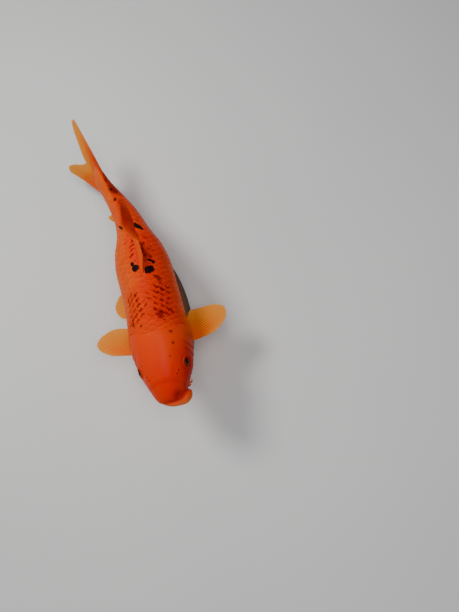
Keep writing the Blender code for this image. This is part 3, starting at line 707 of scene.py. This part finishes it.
def head_relief(station, angle, points):
    """Height of the head's forms over the plain loft (m), and how deep its folds are (0 to 1), which sets the
    painted shade in them.
    """
    degrees = from_back(angle)
    neck = neck_station(angle)
    side = gill_side(degrees)

    def behind(line):
        return (station - line) * BODY_LENGTH / MM

    def reach_from(at, place):
        return np.linalg.norm(points - skin_point(at, math.radians(place)), axis=-1) / MM

    # gill cover: a plate that rises to its free rear edge, with the cheek plate ahead of it (mm)
    across = np.clip((degrees - 98) / 48, -1.3, 1.3)
    front = GILL_FRONT + 0.016 * across**2
    cheek = CHEEK_REAR + 0.022 * across**2 - 0.008 * (across > 0) * across
    rise = smooth(0, 1, (station - front) / np.maximum(neck - front, 0.01))
    height = side * (0.3 + 0.9 * rise) * smooth(-0.006, 0.006, station - front)
    fold = np.zeros_like(station)
    for line, depth in ((front, 0.75), (cheek, 0.55)):
        groove = bell(behind(line), 1.5) * side
        height += 0.35 * bell(behind(line) - 3.6, 2.4) * side - depth * groove
        fold += 0.55 * groove
    radiate = np.sin(across * 26 + station * 60) * side * smooth(0, 0.02, station - front)
    height += 0.03 * radiate * fade(-0.02, 0, station - neck)

    # throat: folds of the gill membranes
    throat = smooth(146, 160, degrees)
    for at in THROAT_FOLDS:
        groove = bell(behind(at + 0.02 * np.cos(np.radians(degrees * 2))), 1.6) * throat
        height -= 0.6 * groove
        fold += 0.4 * groove

    # snout: a step behind the upper lip, and a soft hollow behind that lip's thick side
    gap = behind(0.046 + 0.012 * np.cos(angle))
    upper = fade(70, 100, degrees)
    reach = reach_from(*LIP_HOLLOW)
    height += (0.2 * bell(gap - 6, 4.0) - 0.32 * bell(gap, 2.6)) * upper - 1.2 * bell(reach, 5.2)
    fold += 0.12 * bell(gap, 1.8) * upper + 0.35 * bell(reach, 4.6)

    for turn in (1, -1):
        # a fold from the mouth's corner up the cheek
        reach = reach_from(MOUTH_CORNER[0], turn * MOUTH_CORNER[1])
        ring = bell(reach - 10.5, 1.5) * smooth(0.055, 0.075, station) * fade(112, 128, degrees)
        height -= 0.65 * ring
        fold += 0.5 * ring
        # brow and eye: a raised rim round a sunk socket
        centre, axis = eye_frame(turn)
        offset = points - centre
        forward = (offset * axis).sum(-1)
        reach = np.linalg.norm(offset - forward[..., None] * axis, axis=-1) / MM
        near = forward > 0
        height += near * (0.95 * bell(reach - 7.3, 1.25) - 2.6 * fade(4.6, 6.3, reach)
                          - 0.5 * bell(reach - 10.0, 1.4))
        fold += near * (0.95 * bell(reach - 6.0, 1.1) + 0.3 * bell(reach - 9.8, 1.4))
        for at, place in NOSTRILS:
            reach = reach_from(at, turn * place)
            height += 0.55 * bell(reach - 2.5, 0.9) - 1.5 * bell(reach, 1.3)
            fold += 0.95 * bell(reach, 1.25)
        # forehead: shallow pits of the sensory canals
        for k in range(9):
            reach = reach_from(0.105 + 0.014 * k, turn * (27 + 1.8 * k + 3.5 * math.sin(k)))
            height -= 0.22 * bell(reach, 0.9)
            fold += 0.3 * bell(reach, 0.7)
    return height * MM, np.clip(fold, 0, 1)


def softened(ring, times):
    for _ in range(times):
        ring = (np.roll(ring, 1) + 2 * ring + np.roll(ring, -1)) / 4
    return ring


def face_start(line, radius):
    """The station on each column where the face comes out from behind the lips."""
    stations = np.linspace(0, 0.16, 161)
    start = np.zeros(COLUMNS)
    for k in range(COLUMNS):
        column = skin_point(stations, THETA[k])
        gap = np.linalg.norm(column[:, None] - line[None, ::4], axis=-1) - radius[None, ::4]
        hidden = np.nonzero(gap.min(1) < 1.0 * MM)[0]
        start[k] = stations[hidden[-1] + 1] if len(hidden) else 0.004
    return softened(start, 10)


# the gill cover's free edge, row by row: how far the row lies behind the neck on the cover and elsewhere
# (stations), and how high it stands on the cover (mm)
GILL_EDGE = ((0.0018, 0.0012, 1.05), (0.0032, 0.0024, 0.55), (0.0036, 0.0036, -0.1), (0.0028, 0.0048, -0.9),
             (0.0036, 0.006, -1.45), (0.0066, 0.0072, -1.55))


def make_skin():
    """One closed skin: the mouth's hollow, lips, head, gill edge, trunk under the scales, root of the tail fin."""
    centre, forward = mouth_frame()[:2]
    line, out, radius = lip_line(math.pi / 2 - THETA)
    thick = smooth(4.6 * MM, 6.4 * MM, radius)
    start = face_start(line, radius)
    meet = skin_point(start, THETA) - line
    last_tone = np.degrees(np.arctan2((meet * out).sum(-1), meet @ forward))
    last_tone = softened(np.clip(np.where(last_tone < -60, last_tone + 360, last_tone) - 12, 95, 200), 8)
    tones = LIP_FIRST_TONE + (last_tone - LIP_FIRST_TONE) * shares(26)[:, None]
    tone = np.radians(tones)
    fine = np.sin(THETA * 53 + 1.6 * np.sin(THETA * 7)) + 0.7 * np.sin(THETA * 91 + 2.0 * np.sin(THETA * 4))
    wrinkle = 1 + 0.01 * fine * bell(tone, 1.3)
    groove = 1 - 0.1 * bell(tones - 78, 9.0) * thick
    around = out * np.sin(tone)[..., None] + forward * np.cos(tone)[..., None]
    lips = line + around * (radius * wrinkle * groove)[..., None]

    # into the mouth, to the back of its hollow
    rim_centre = lips[0].mean(0)
    inner = []
    for depth in (0.985, 0.92, 0.8, 0.64, 0.46, 0.28, 0.12):
        narrow = math.sqrt(1 - depth**2) * (1 - 0.15 * depth)
        middle = rim_centre * (1 - depth) + (centre - forward * MOUTH_DEPTH) * depth
        inner.append(middle + (lips[0] - rim_centre) * narrow)

    # the head, from behind the lips to the gill slit, with a short fold that joins lips and face
    neck = neck_station(THETA)
    stations = start + (neck - start) * shares(158)[:, None]
    head = skin_point(stations, THETA)
    relief, fold = head_relief(stations, np.broadcast_to(THETA, stations.shape), head)
    relief = relief * smooth(0, 0.012, stations - start)
    sink = smooth(0, 0.034, stations - scale_line(THETA)) * COAT
    normals = ring_normals(head)
    away = ((head - along_axis(stations)[0]) * normals).sum(-1, keepdims=True)
    head = head + normals * np.sign(away) * (relief - sink)[..., None]
    join = (lips[-1] + head[0]) / 2 - unit(meet) * 0.5 * MM

    # the free edge of the gill cover, then the trunk under the scales, then the root of the tail fin
    flap = gill_side(from_back(THETA))
    edge, edge_stations = [], []
    for over_step, plain_step, lift in GILL_EDGE:
        at = neck + over_step * flap + plain_step * (1 - flap)
        plain = -COAT * np.maximum(np.clip(0.35 + plain_step * 90, 0, 1), smooth(0, 0.034, at - scale_line(THETA)))
        edge.append(skin_point(at, THETA, lift * MM * flap + plain * (1 - flap)))
        edge_stations.append(at)
    trunk_start = neck + 0.011
    trunk_stations = trunk_start + (1.0 - trunk_start) * shares(92)[:, None]
    trunk = skin_point(trunk_stations, THETA, -COAT * (1 - 0.75 * smooth(0.96, 1.0, trunk_stations)))
    tail_root = []
    for at in np.linspace(1.004, TAIL_ROOT_END, 14):
        side, height = outline(1.0, THETA, -0.25 * COAT)
        share = tail_root_share(at)
        lobe = along_axis(at)[1] * (0.012 * BODY_LENGTH * share * np.cos(THETA) ** 2)[:, None]
        tail_root.append(on_section(at, side * tail_root_width(at), height * (1 - 0.14 * share)) + lobe)

    grid = np.concatenate([inner, lips, join[None], head, edge, trunk, tail_root])
    first = len(inner) + len(lips) + 1
    slit = first + len(stations)
    known = np.concatenate([stations, edge_stations, trunk_stations])
    station = np.ones(grid.shape[:2])
    station[:first] = start
    station[first : first + len(known)] = known
    fields = body_attributes(station, np.broadcast_to(THETA, station.shape))
    for key in ("net", "fold", "lip", "mouth"):
        fields[key] = np.zeros(station.shape)
    for key in ("ink", "red_spots_and_shadow"):
        fields[key][:first] = NO_SPOT
    lip_rows = slice(len(inner), len(inner) + len(lips))
    fields["lip"][lip_rows] = bell(tones - 30, 66 + 14 * thick)
    # painted shade inside the mouth's hollow
    fields["mouth"][: len(inner)] = 1.0
    fields["mouth"][lip_rows] = smooth(25, 95, -tones)
    # painted shade where the lips meet the face and under the gill cover's free edge
    fields["fold"][lip_rows] = (0.25 + 0.65 * thick) * smooth(-26, 4, tones - last_tone)
    fields["fold"][first:slit] = fold
    fields["fold"][first - 1 : first + 1] = 0.2 + 0.65 * thick
    fields["fold"][slit + 1 : slit + 8] = 0.9 * flap
    closed_tube("skin", grid, SKIN, fields,
                ("head", "lip_upper", "lip_lower", "gill_cover_left", "gill_cover_right", "trunk_front",
                 "trunk_middle", "trunk_rear", "tail_stalk"))


# ---- scales ----------------------------------
# station, scale spacing along the body and across it (mm), degrees of the lateral line
SCALE_PITCH = through(((0.18, 7.2), (0.3, 7.8), (0.6, 7.8), (0.8, 6.8), (0.95, 5.6), (1.05, 5)))
ROW_PITCH = through(((0.18, 8.4), (0.3, 9), (0.55, 9), (0.75, 7.6), (0.9, 6.2), (1.05, 5.8)))
LATERAL_ANGLE = through(((0.2, 80), (0.3, 87), (0.45, 93), (0.7, 92), (1, 90)))
SCALE_ACROSS, SCALE_ALONG = 9, 7  # points of one scale's grid
SCALE_THICK = 0.42 * MM
BACK_ROW, BELLY_ROW = 20, 21
EDGE_WIDTH = 0.95  # of the scales on the back's and belly's middle, to the others
ROW_EDGE = 0.46  # how near a row comes to the middle of back or belly, in rows
ROWS_EACH_WAY = 12  # from the lateral line
LAST_IN_ROW, LAST_ON_EDGE = 1.018, 1.01  # stations
DORSAL_BASE, ANAL_BASE = (0.425, 0.8), (0.8, 0.87)  # stations without scales on the middle of back or belly
CHART_START, CHART_LENGTH = 0.17, 0.86  # stations of the scales' map
SCALE_SEED = 11


def lateral_arc(station):
    return arc_at(station, np.radians(LATERAL_ANGLE(station)))


def scale_positions():
    """Station, signed arc, side, row and width of each scale. Rows run beside the lateral line."""
    fine = np.linspace(0.14, 1.06, 2000)
    count = np.concatenate([[0], np.cumsum(np.diff(fine) * BODY_LENGTH / MM / SCALE_PITCH(fine[:-1]))])
    made = []
    for side in (1, -1):
        for row in range(-ROWS_EACH_WAY, ROWS_EACH_WAY + 1):
            for index in np.arange(0, count[-1], 1.0) + (0.5 if row % 2 else 0.0):
                at = float(np.interp(index, count, fine))
                here = min(at, 1.0)
                pitch = float(ROW_PITCH(here)) * MM
                arc = float(lateral_arc(here)) + row * pitch
                if at <= LAST_IN_ROW and ROW_EDGE * pitch <= arc <= float(half_girth(here)) - ROW_EDGE * pitch:
                    made.append((at, side * arc, side, row, 1.0))
    for index in np.arange(0, count[-1], 1.0):
        at = float(np.interp(index, count, fine))
        if at < LAST_ON_EDGE and not DORSAL_BASE[0] < at < DORSAL_BASE[1]:
            made.append((at, 0.0, 0, BACK_ROW, EDGE_WIDTH))
        if at < LAST_ON_EDGE and not ANAL_BASE[0] < at < ANAL_BASE[1]:
            made.append((at, float(half_girth(min(at, 1.0))), 0, BELLY_ROW, EDGE_WIDTH))
    return np.array(made)


def make_scales():
    """Overlapping closed scales, whose root lies in the skin's coat and whose rear edge stands free."""
    every = scale_positions()
    begin = scale_line(angle_at(np.clip(every[:, 0], 0, 1), every[:, 1])) * BODY_LENGTH + 1.0 * MM
    every = every[every[:, 0] * BODY_LENGTH > begin]
    rng = np.random.default_rng(SCALE_SEED)
    across = np.linspace(-1, 1, SCALE_ACROSS)[:, None]
    reach = 0.56 + 0.44 * np.sqrt(np.maximum(0, 1 - np.abs(across) ** 2.2))
    along = shares(SCALE_ALONG) ** 0.85 * reach
    thick = SCALE_THICK * (0.35 + 0.65 * along)
    crown = -0.26 * MM * across**2 * (0.4 + 0.6 * along)
    lift = -COAT * 1.02 + (COAT * 1.02 + 0.08 * MM) * along**0.9 + crown
    size = SCALE_ACROSS * SCALE_ALONG
    sheet = sheet_faces(SCALE_ACROSS, SCALE_ALONG, first=1)
    for name, keep in (("scales_left", every[:, 1] > 0), ("scales_right", every[:, 1] <= 0)):
        chosen = every[keep]
        n = len(chosen)
        at, arc, side, row, width = (column[:, None, None] for column in chosen.T)
        here = np.clip(at, 0, 1)
        pitch, rows = SCALE_PITCH(here) * MM, ROW_PITCH(here) * MM
        jitter = rng.normal(0, 1, (3, n, 1, 1))
        tone = rng.random((n, 1, 1))
        offset = (along - 0.52) * pitch * 1.85 * (1 + 0.02 * jitter[0])
        half = rows * 1.02 * width * (1 + 0.015 * jitter[1])
        spread = half * across * (0.86 + 0.14 * np.sin(math.pi * along)) + offset * 0.035 * jitter[2]
        station = at + offset / BODY_LENGTH
        place = np.clip(station, 0, 1)
        sign = np.where(side < 0, -1, 1)
        in_row = sign * (lateral_arc(place) + row * ROW_PITCH(place) * MM)
        middle = np.where(row == BACK_ROW, 0.0, np.where(row == BELLY_ROW, half_girth(place), in_row))
        theta = angle_at(place, middle + sign * spread)
        surfaces = []
        for grow in (lift, lift - thick):
            shift, height = outline(place, theta, grow)
            surfaces.append(on_section(station, shift * tail_root_width(station), height).reshape(n, size, 3))
        quads = np.where(side < 0, sheet[:, ::-1], sheet) + (np.arange(n) * 2 * size)[:, None, None]

        def both(value):
            return np.tile(np.broadcast_to(value, theta.shape).reshape(n, size), 2)

        fields = body_attributes(both(place), both(theta))
        root, root_arc = here[:, 0, 0], chosen[:, 1]
        fields["net"] = both(body_attributes(root, angle_at(root, root_arc))["net"][:, None, None])
        fields.update({"along": both(along), "across": both(across), "tone": both(tone)})
        # one small patch for each scale, at its own place on the unrolled body
        step_u = np.minimum(0.94 * rows / half_girth(here), 0.06)
        step_v = 0.94 * pitch / BODY_LENGTH / CHART_LENGTH
        u = 0.03 + 0.94 * np.abs(arc) / half_girth(here) + across * 0.44 * step_u
        v = 0.03 + 0.94 * (at - CHART_START) / CHART_LENGTH + (along - 0.5) * 0.88 * step_v
        quads = quads.reshape(-1, 4)
        uv = np.stack([both(u).ravel(), both(v).ravel()], -1)[quads]
        mesh_piece(name, np.concatenate(surfaces, 1), quads, SCALES, fields, uv)


# ---- fins ------------------------------------
# station and degrees of the root's front and rear; then from front to rear: degrees that the rays lean tailwards,
# and degrees round the axis that they point to; rays; bend at the edge and thickness at the root (mm); reach (mm)
PELVIC_REACH = (40, 52, 59, 60, 55, 46, 36)
FINS = {
    "pectoral_fin_left": ((0.221, 128), (0.265, 122), (10, 61), (97, 104), 16, -5, 5.5,
                          (40, 60, 71.5, 74.5, 68, 57, 46, 37, 30)),
    "pectoral_fin_right": ((0.217, -128), (0.25, -122), (12, 60), (-97, -104), 16, 5, 5.5,
                           (46, 65, 72, 70, 63.5, 56, 47.5, 38, 30)),
    "pelvic_fin_left": ((0.38, 160), (0.417, 166), (45, 82), (146, 156), 14, -3, 4.0, PELVIC_REACH),
    "pelvic_fin_right": ((0.38, -160), (0.417, -166), (14, 70), (-102, -118), 14, 3, 4.0, PELVIC_REACH),
    "dorsal_fin": ((0.415, -4), (0.775, 0), (50, 60), (20, 18, -12, -60, -48, -48, -50, -45), 21, 0.5, 4.0,
                   (27, 29, 23, 28, 28.5, 24, 17, 11)),
    "anal_fin": ((0.795, 180), (0.856, 180), (44, 64), (238, 240), 7, -3, 3.2, (30, 45, 32, 22, 16)),
}
FIN_SINK = 9.0 * MM  # how far the root reaches into the body
FIN_FLESH = 6.0 * MM  # how far the fin is fleshy, without rays
FIN_EDGE = 0.7 * MM
POINTS_PER_RAY, FIN_ROWS = 8, 44
# each lobe from its edge to the fork: how far behind the stalk, and how high (mm)
TAIL_TIPS = {1: ((98, 53), (104, 45), (96, 34), (82, 24), (68, 14), (57, 5), (52, 0.3)),
             -1: ((96, 50), (102, 43), (94, 33), (81, 23), (67, 14), (57, 5), (52, 0.3))}
TAIL_FEET = {1: 23.0, -1: 22.0}  # height of the lobes' edges at the stalk (mm)
TAIL_ROOT = 4.6 * MM
TAIL_START = -0.018 * BODY_LENGTH / MM
TAIL_RAYS = 24
LOBE_POINTS, TAIL_ROWS = 97, 52


def spread_over(share, values):
    """A smooth curve through evenly spaced values."""
    return through(list(zip(shares(len(values)), values)))(share)


def scallops(share, rays, whole):
    """The share of its reach that the edge has between and at the rays."""
    return whole - 0.01 * (0.5 - 0.5 * np.cos(share * rays * 2 * math.pi + math.pi)) ** 2


def rayed(share, along, rays):
    """Height of the rays' ridges, 0 to 1: each ray splits in two over its outer half."""
    phase = share * rays * 2 * math.pi
    single = (0.5 + 0.5 * np.cos(phase)) ** 2.2
    double = (0.5 + 0.5 * np.cos(2 * phase + math.pi)) ** 1.6
    split = smooth(0.5, 0.68, along)
    return single * (1 - split) + double * split


def fin_sheet(name, grid, normal, root, taper, rays, fleshy, replaces):
    """A closed fin from its middle surface, front to rear and root to edge, with rays standing out on both faces."""
    rows, columns = grid.shape[:2]
    share, along = np.meshgrid(shares(rows), shares(columns), indexing="ij")
    half = (FIN_EDGE + (root - FIN_EDGE) * (1 - along) ** taper) / 2
    free = smooth(fleshy - 0.1, fleshy + 0.1, along)
    ray = rayed(share, along, rays) * free
    body = half - 0.1 * MM * free + 0.24 * MM * (1 - 0.6 * along) * ray * 0.8
    wave = 0.2 * MM * np.sin(share * rays * 2 * math.pi) * along * free
    middle = grid + normal * wave[..., None]
    points = np.stack([middle + normal * body[..., None], middle - normal * body[..., None]])
    rim = np.maximum(smooth(0.955, 1.0, along), smooth(0.985, 1.0, share) * 0.6)
    base = fade(fleshy - 0.05, fleshy + 0.36, along)
    fin_shade = deep = np.zeros_like(share)
    if name.startswith("pectoral"):
        base = np.maximum(base, 0.8 * fade(0.12, 0.46, share) * fade(0.45, 1.0, along))
    elif name.startswith("dorsal"):
        rim, deep = rim * 0.2, deep + 0.92
        # painted shade: the dorsal fin's rear, leaning over the back, is painted dark red
        fin_shade = smooth(0.36, 0.5, share) - 0.35 * smooth(0.7, 0.95, share)
    elif name.startswith("tail"):
        # painted shade on the upper lobe's leading edge near its root
        fin_shade = 0.75 * fade(0.04, 0.26, share) * fade(0.22, 0.6, along)
    fields = {"along": along, "share": share, "ray": ray, "rim": rim, "base": base, "fin_shade": fin_shade, "deep": deep}
    fields = {key: np.stack([value, value]) for key, value in fields.items()}
    # one half of the map for each face
    u, v = 0.01 + 0.48 * share, 0.01 + 0.98 * along
    uv = np.stack([np.stack([u, v], -1), np.stack([u + 0.5, v], -1)]).reshape(-1, 2)
    faces = sheet_faces(rows, columns)
    mesh_piece(name, points, faces, FIN, fields, uv[faces], replaces)


def make_fin(name, front, rear, back, around, rays, bow, thick, reach):
    share, along = shares(rays * POINTS_PER_RAY + 1), shares(FIN_ROWS)
    station, angle = (spread_over(share, ends) for ends in zip(front, rear))
    back, around = (np.radians(spread_over(share, degrees))[:, None] for degrees in (back, around))
    _, tailward, left, up = along_axis(station)
    out = up * np.cos(around) + left * np.sin(around)
    ray = out * np.cos(back) + tailward * np.sin(back)
    root = skin_point(station, np.radians(angle)) - out * FIN_SINK
    full = spread_over(share, reach) * MM * scallops(share, rays, 0.993) + FIN_SINK
    normal = unit(np.cross(tailward, out))[:, None]
    bent = bow * MM * (full / full.max())[:, None] * along**2
    ripple = 0.9 * MM * np.sin(share * 9.0 + 1.0)[:, None] * along**2
    grid = root[:, None] + ray[:, None] * (full[:, None] * along)[..., None] + normal * (bent + ripple)[..., None]
    fleshy = (FIN_SINK + FIN_FLESH) / float(full.mean())
    fin_sheet(name + "_rayed", grid, normal, thick * MM, 1.6, rays, fleshy, (name,))


def make_tail_fin():
    """Both lobes in one sheet, from the upper edge round the fork to the lower one."""
    share = shares(LOBE_POINTS)
    lobes = []
    for sign, tips in TAIL_TIPS.items():
        behind, height = (spread_over(share, values) for values in zip(*tips))
        lobes.append(np.stack([behind, height * sign, TAIL_FEET[sign] * (1 - share) * sign]))
    behind, height, foot = np.hstack([lobes[0], lobes[1][:, -2::-1]])[..., None]
    share = shares(len(behind))[:, None]
    along = shares(TAIL_ROWS)
    distance = TAIL_START + (behind * scallops(share, TAIL_RAYS, 0.994) - TAIL_START) * along
    spread = foot + (height - foot) * along**0.9
    point, _, left, up = along_axis(1.0 + distance * MM / BODY_LENGTH)
    ripple = 0.8 * MM * np.sin(share * 14.0) * along**2
    grid = point + up * (spread * MM)[..., None] + left * ripple[..., None]
    fin_sheet("tail_fin_rayed", grid, left, TAIL_ROOT, 2.2, TAIL_RAYS, 0.4, ("tail_fin_upper", "tail_fin_lower"))


# ---- barbels, eyes, stand --------------------
# station, degrees from the back, length and radius (mm), how far the tip droops
BARBELS = {"front": (0.052, 108, 7, 1.3, 0.8), "rear": (0.066, 126, 15, 1.7, 0.9)}


def make_barbels():
    sides, rows = 16, 26
    for end, (station, degrees, length, radius, droop) in BARBELS.items():
        for which, side in (("left", 1), ("right", -1)):
            name = f"barbel_{which}_{end}"
            angle = side * math.radians(degrees)
            out = outward(station, angle)
            _, tailward, _, up = along_axis(station)
            along = np.linspace(-3.0 / length, 1, rows)
            bend = np.maximum(along, 0)[:, None] ** 1.5
            direction = out * (1 - 0.7 * bend) - up * droop * bend + tailward * 0.5 * bend
            line = skin_point(station, angle) + direction * along[:, None] * length * MM
            heading = unit(np.gradient(line, axis=0))
            first = unit(np.cross(heading, tailward))
            size = radius * (1 - 0.62 * np.maximum(along, 0)) * np.sqrt(np.clip((1.0 - along) * 14, 0, 1))
            size = np.maximum(size * (1 + 0.75 * bell((along - 0.02) / 0.14)), 0.02) * MM
            points = line[:, None] + circle(first, np.cross(heading, first), sides) * size[:, None, None]
            plain = np.zeros((rows, sides))
            fields = body_attributes(plain + station, plain + angle)
            fields.update({
                "ink": plain + NO_SPOT, "red_spots_and_shadow": plain + NO_SPOT, "mouth": plain,
                # painted shade where the barbel meets the skin
                "fold": 0.5 * bell(along - 0.02, 0.1)[:, None],
                "lip": 0.8 * smooth(0.1, 1.0, along)[:, None],
            })
            closed_tube(name + "_soft", points, SKIN, fields, (name,))


def make_eyes():
    rows, sides = 48, 56
    polar = np.linspace(0.02, math.pi - 0.02, rows)[:, None]
    # the clear dome over the iris stands a little proud of the ball
    size = EYE_RADIUS * (0.985 - 0.035 * smooth(0.25, 0.75, polar))
    reach = np.where(polar < math.pi / 2, np.sin(polar), 2 - np.sin(polar))
    for name, side in (("eye_left", 1), ("eye_right", -1)):
        centre, axis = eye_frame(side)
        first = unit(np.cross(axis, (0, 0, 1.0)))
        ring = circle(first, np.cross(axis, first), sides)
        grid = centre + axis * (np.cos(polar) * size)[..., None] + ring * (np.sin(polar) * size)[..., None]
        closed_tube(name + "_ball", grid, EYE, {"reach": reach}, (name,))


BASE_LENGTH, BASE_WIDTH = 0.23, 0.1
# how far the row lies outside the oval's edge (mm), or its share of the oval when over 0, and its height (mm)
BASE_PROFILE = (
    (0.05, 0), (0.5, 0), (0.97, 0), (-0.4, 0.3), (0, 1), (0, 10.2), (-0.5, 11.2), (-1.6, 11.8), (-2.4, 12.2),
    (-2.6, 12.9), (-2.6, 14), (-2.9, 15), (-3.7, 15.7), (-4.6, 16), (0.8, 16), (0.6, 16), (0.4, 16), (0.2, 16),
    (0.05, 16),
)
ROD_STATIONS = {"front": 0.3, "rear": 0.56}
ROD_RADIUS, ROD_FOOT, ROD_SINK = 3.9, 16.2, 40.0  # its top lies this far under the body's axis (mm)
COLLAR_PROFILE = (
    (3.2, 17), (8.9, 16.2), (8.9, 19.7), (8.5, 20.6), (7.7, 21.3), (7.2, 21.4), (4.9, 21.4), (4.2, 21.1), (3.2, 20),
)


def turned(name, profile, place, replaces, sides):
    """A steel solid of revolution about a vertical line, from its profile of radius and height (mm)."""
    profile = np.array(profile)[:, None, :, None] * MM
    ring = circle(np.array((1.0, 0, 0)), np.array((0, 1.0, 0)), sides)
    grid = ring * profile[:, :, 0] + np.array((0, 0, 1.0)) * profile[:, :, 1]
    piece = closed_tube(name, grid + np.array([*place, 0.0]), STEEL, {}, (replaces,))
    piece.data.set_sharp_from_angle(angle=math.radians(35))


def make_stand():
    feet = {name: along_axis(station)[0] for name, station in ROD_STATIONS.items()}
    along = feet["rear"] - feet["front"]
    turn = math.atan2(-along[0], along[1])
    x, y = np.cos(turns(160)), np.sin(turns(160))
    oval = np.stack([x * BASE_WIDTH / 2, y * BASE_LENGTH / 2], -1)
    normal = unit(np.stack([x / BASE_WIDTH, y / BASE_LENGTH], -1))
    rings = [np.column_stack([oval * inset if inset > 0 else oval + normal * inset * MM, x * 0 + height * MM])
             for inset, height in BASE_PROFILE]
    c, s = math.cos(turn), math.sin(turn)
    grid = np.array(rings) @ np.array([[c, s, 0], [-s, c, 0], [0, 0, 1.0]])
    base = closed_tube("stand_plinth", grid, WOOD, {}, ("stand_base",))
    base.data.set_sharp_from_angle(angle=math.radians(30))
    for name, foot in feet.items():
        top = foot[2] / MM - ROD_SINK
        rod = ((0.05, ROD_FOOT), (ROD_RADIUS, ROD_FOOT), (ROD_RADIUS, top), (0.05, top))
        turned(f"stand_post_{name}", rod, foot[:2], f"stand_rod_{name}", 48)
        turned(f"stand_ring_{name}", COLLAR_PROFILE, foot[:2], f"stand_collar_{name}", 96)


# ---- studio ----------------------------------
FLOOR_HALF, FLOOR_POINTS = 4.0, 17
LIT_PLACE = (0.0, 0.06, 0.12)
# place, power (W), size, colour
LIGHTS = {
    "key": ((-0.5, 0.62, 1.25), 11.5, 0.45, (1, 0.98, 0.95)),
    "fill": ((0.9, -0.9, 0.9), 0.8, 1.4, (0.93, 0.96, 1)),
    "top": ((0.12, -0.3, 1.6), 8, 0.8, (1, 1, 1)),
}
AIR_COLOUR, AIR_STRENGTH = (0.86, 0.9, 0.95, 1.0), 0.18


def make_studio():
    steps = np.linspace(-FLOOR_HALF, FLOOR_HALF, FLOOR_POINTS)
    x, y = np.meshgrid(steps, steps, indexing="ij")
    points, faces = np.stack([x, y, 0 * x], -1), grid_faces(FLOOR_POINTS, FLOOR_POINTS, False)
    floor = link("floor", new_mesh("floor", points, faces, FLOOR))
    for name, (place, power, size, colour) in LIGHTS.items():
        light = bpy.data.lights.new(name, "AREA")
        light.energy, light.shape, light.size, light.color = power, "DISK", size, colour
        lamp = link(name, light)
        lamp.location = place
        lamp.rotation_euler = (Vector(LIT_PLACE) - Vector(place)).to_track_quat("-Z", "Y").to_euler()
    world = bpy.data.worlds.new("studio_air")
    world.use_nodes = True
    air = world.node_tree.nodes["Background"].inputs
    air["Color"].default_value, air["Strength"].default_value = AIR_COLOUR, AIR_STRENGTH
    bpy.context.scene.world = world


CAMERA_PLACE = (0.03141746, -0.21724482, 0.785)
CAMERA_FORWARD, CAMERA_UP = Vector((0.10032, 0.22014, -0.9703)), Vector((0.40238, 0.88293, 0.24192))
SENSOR_WIDTH, FOCAL_LENGTH, NEAREST = 36.0, 27.06, 0.02


def make_camera():
    """The photo's view: from above, a little ahead of the head."""
    lens = bpy.data.cameras.new("camera")
    lens.sensor_width, lens.lens, lens.clip_start = SENSOR_WIDTH, FOCAL_LENGTH, NEAREST
    camera = link("camera", lens)
    axes = Matrix((CAMERA_FORWARD.cross(CAMERA_UP), CAMERA_UP, -CAMERA_FORWARD)).transposed()
    camera.matrix_world = Matrix.Translation(CAMERA_PLACE) @ axes.to_4x4()
    bpy.context.scene.camera = camera


make_skin()
make_scales()
for fin_name, form in FINS.items():
    make_fin(fin_name, *form)
make_tail_fin()
make_barbels()
make_eyes()
make_stand()
make_studio()
make_camera()
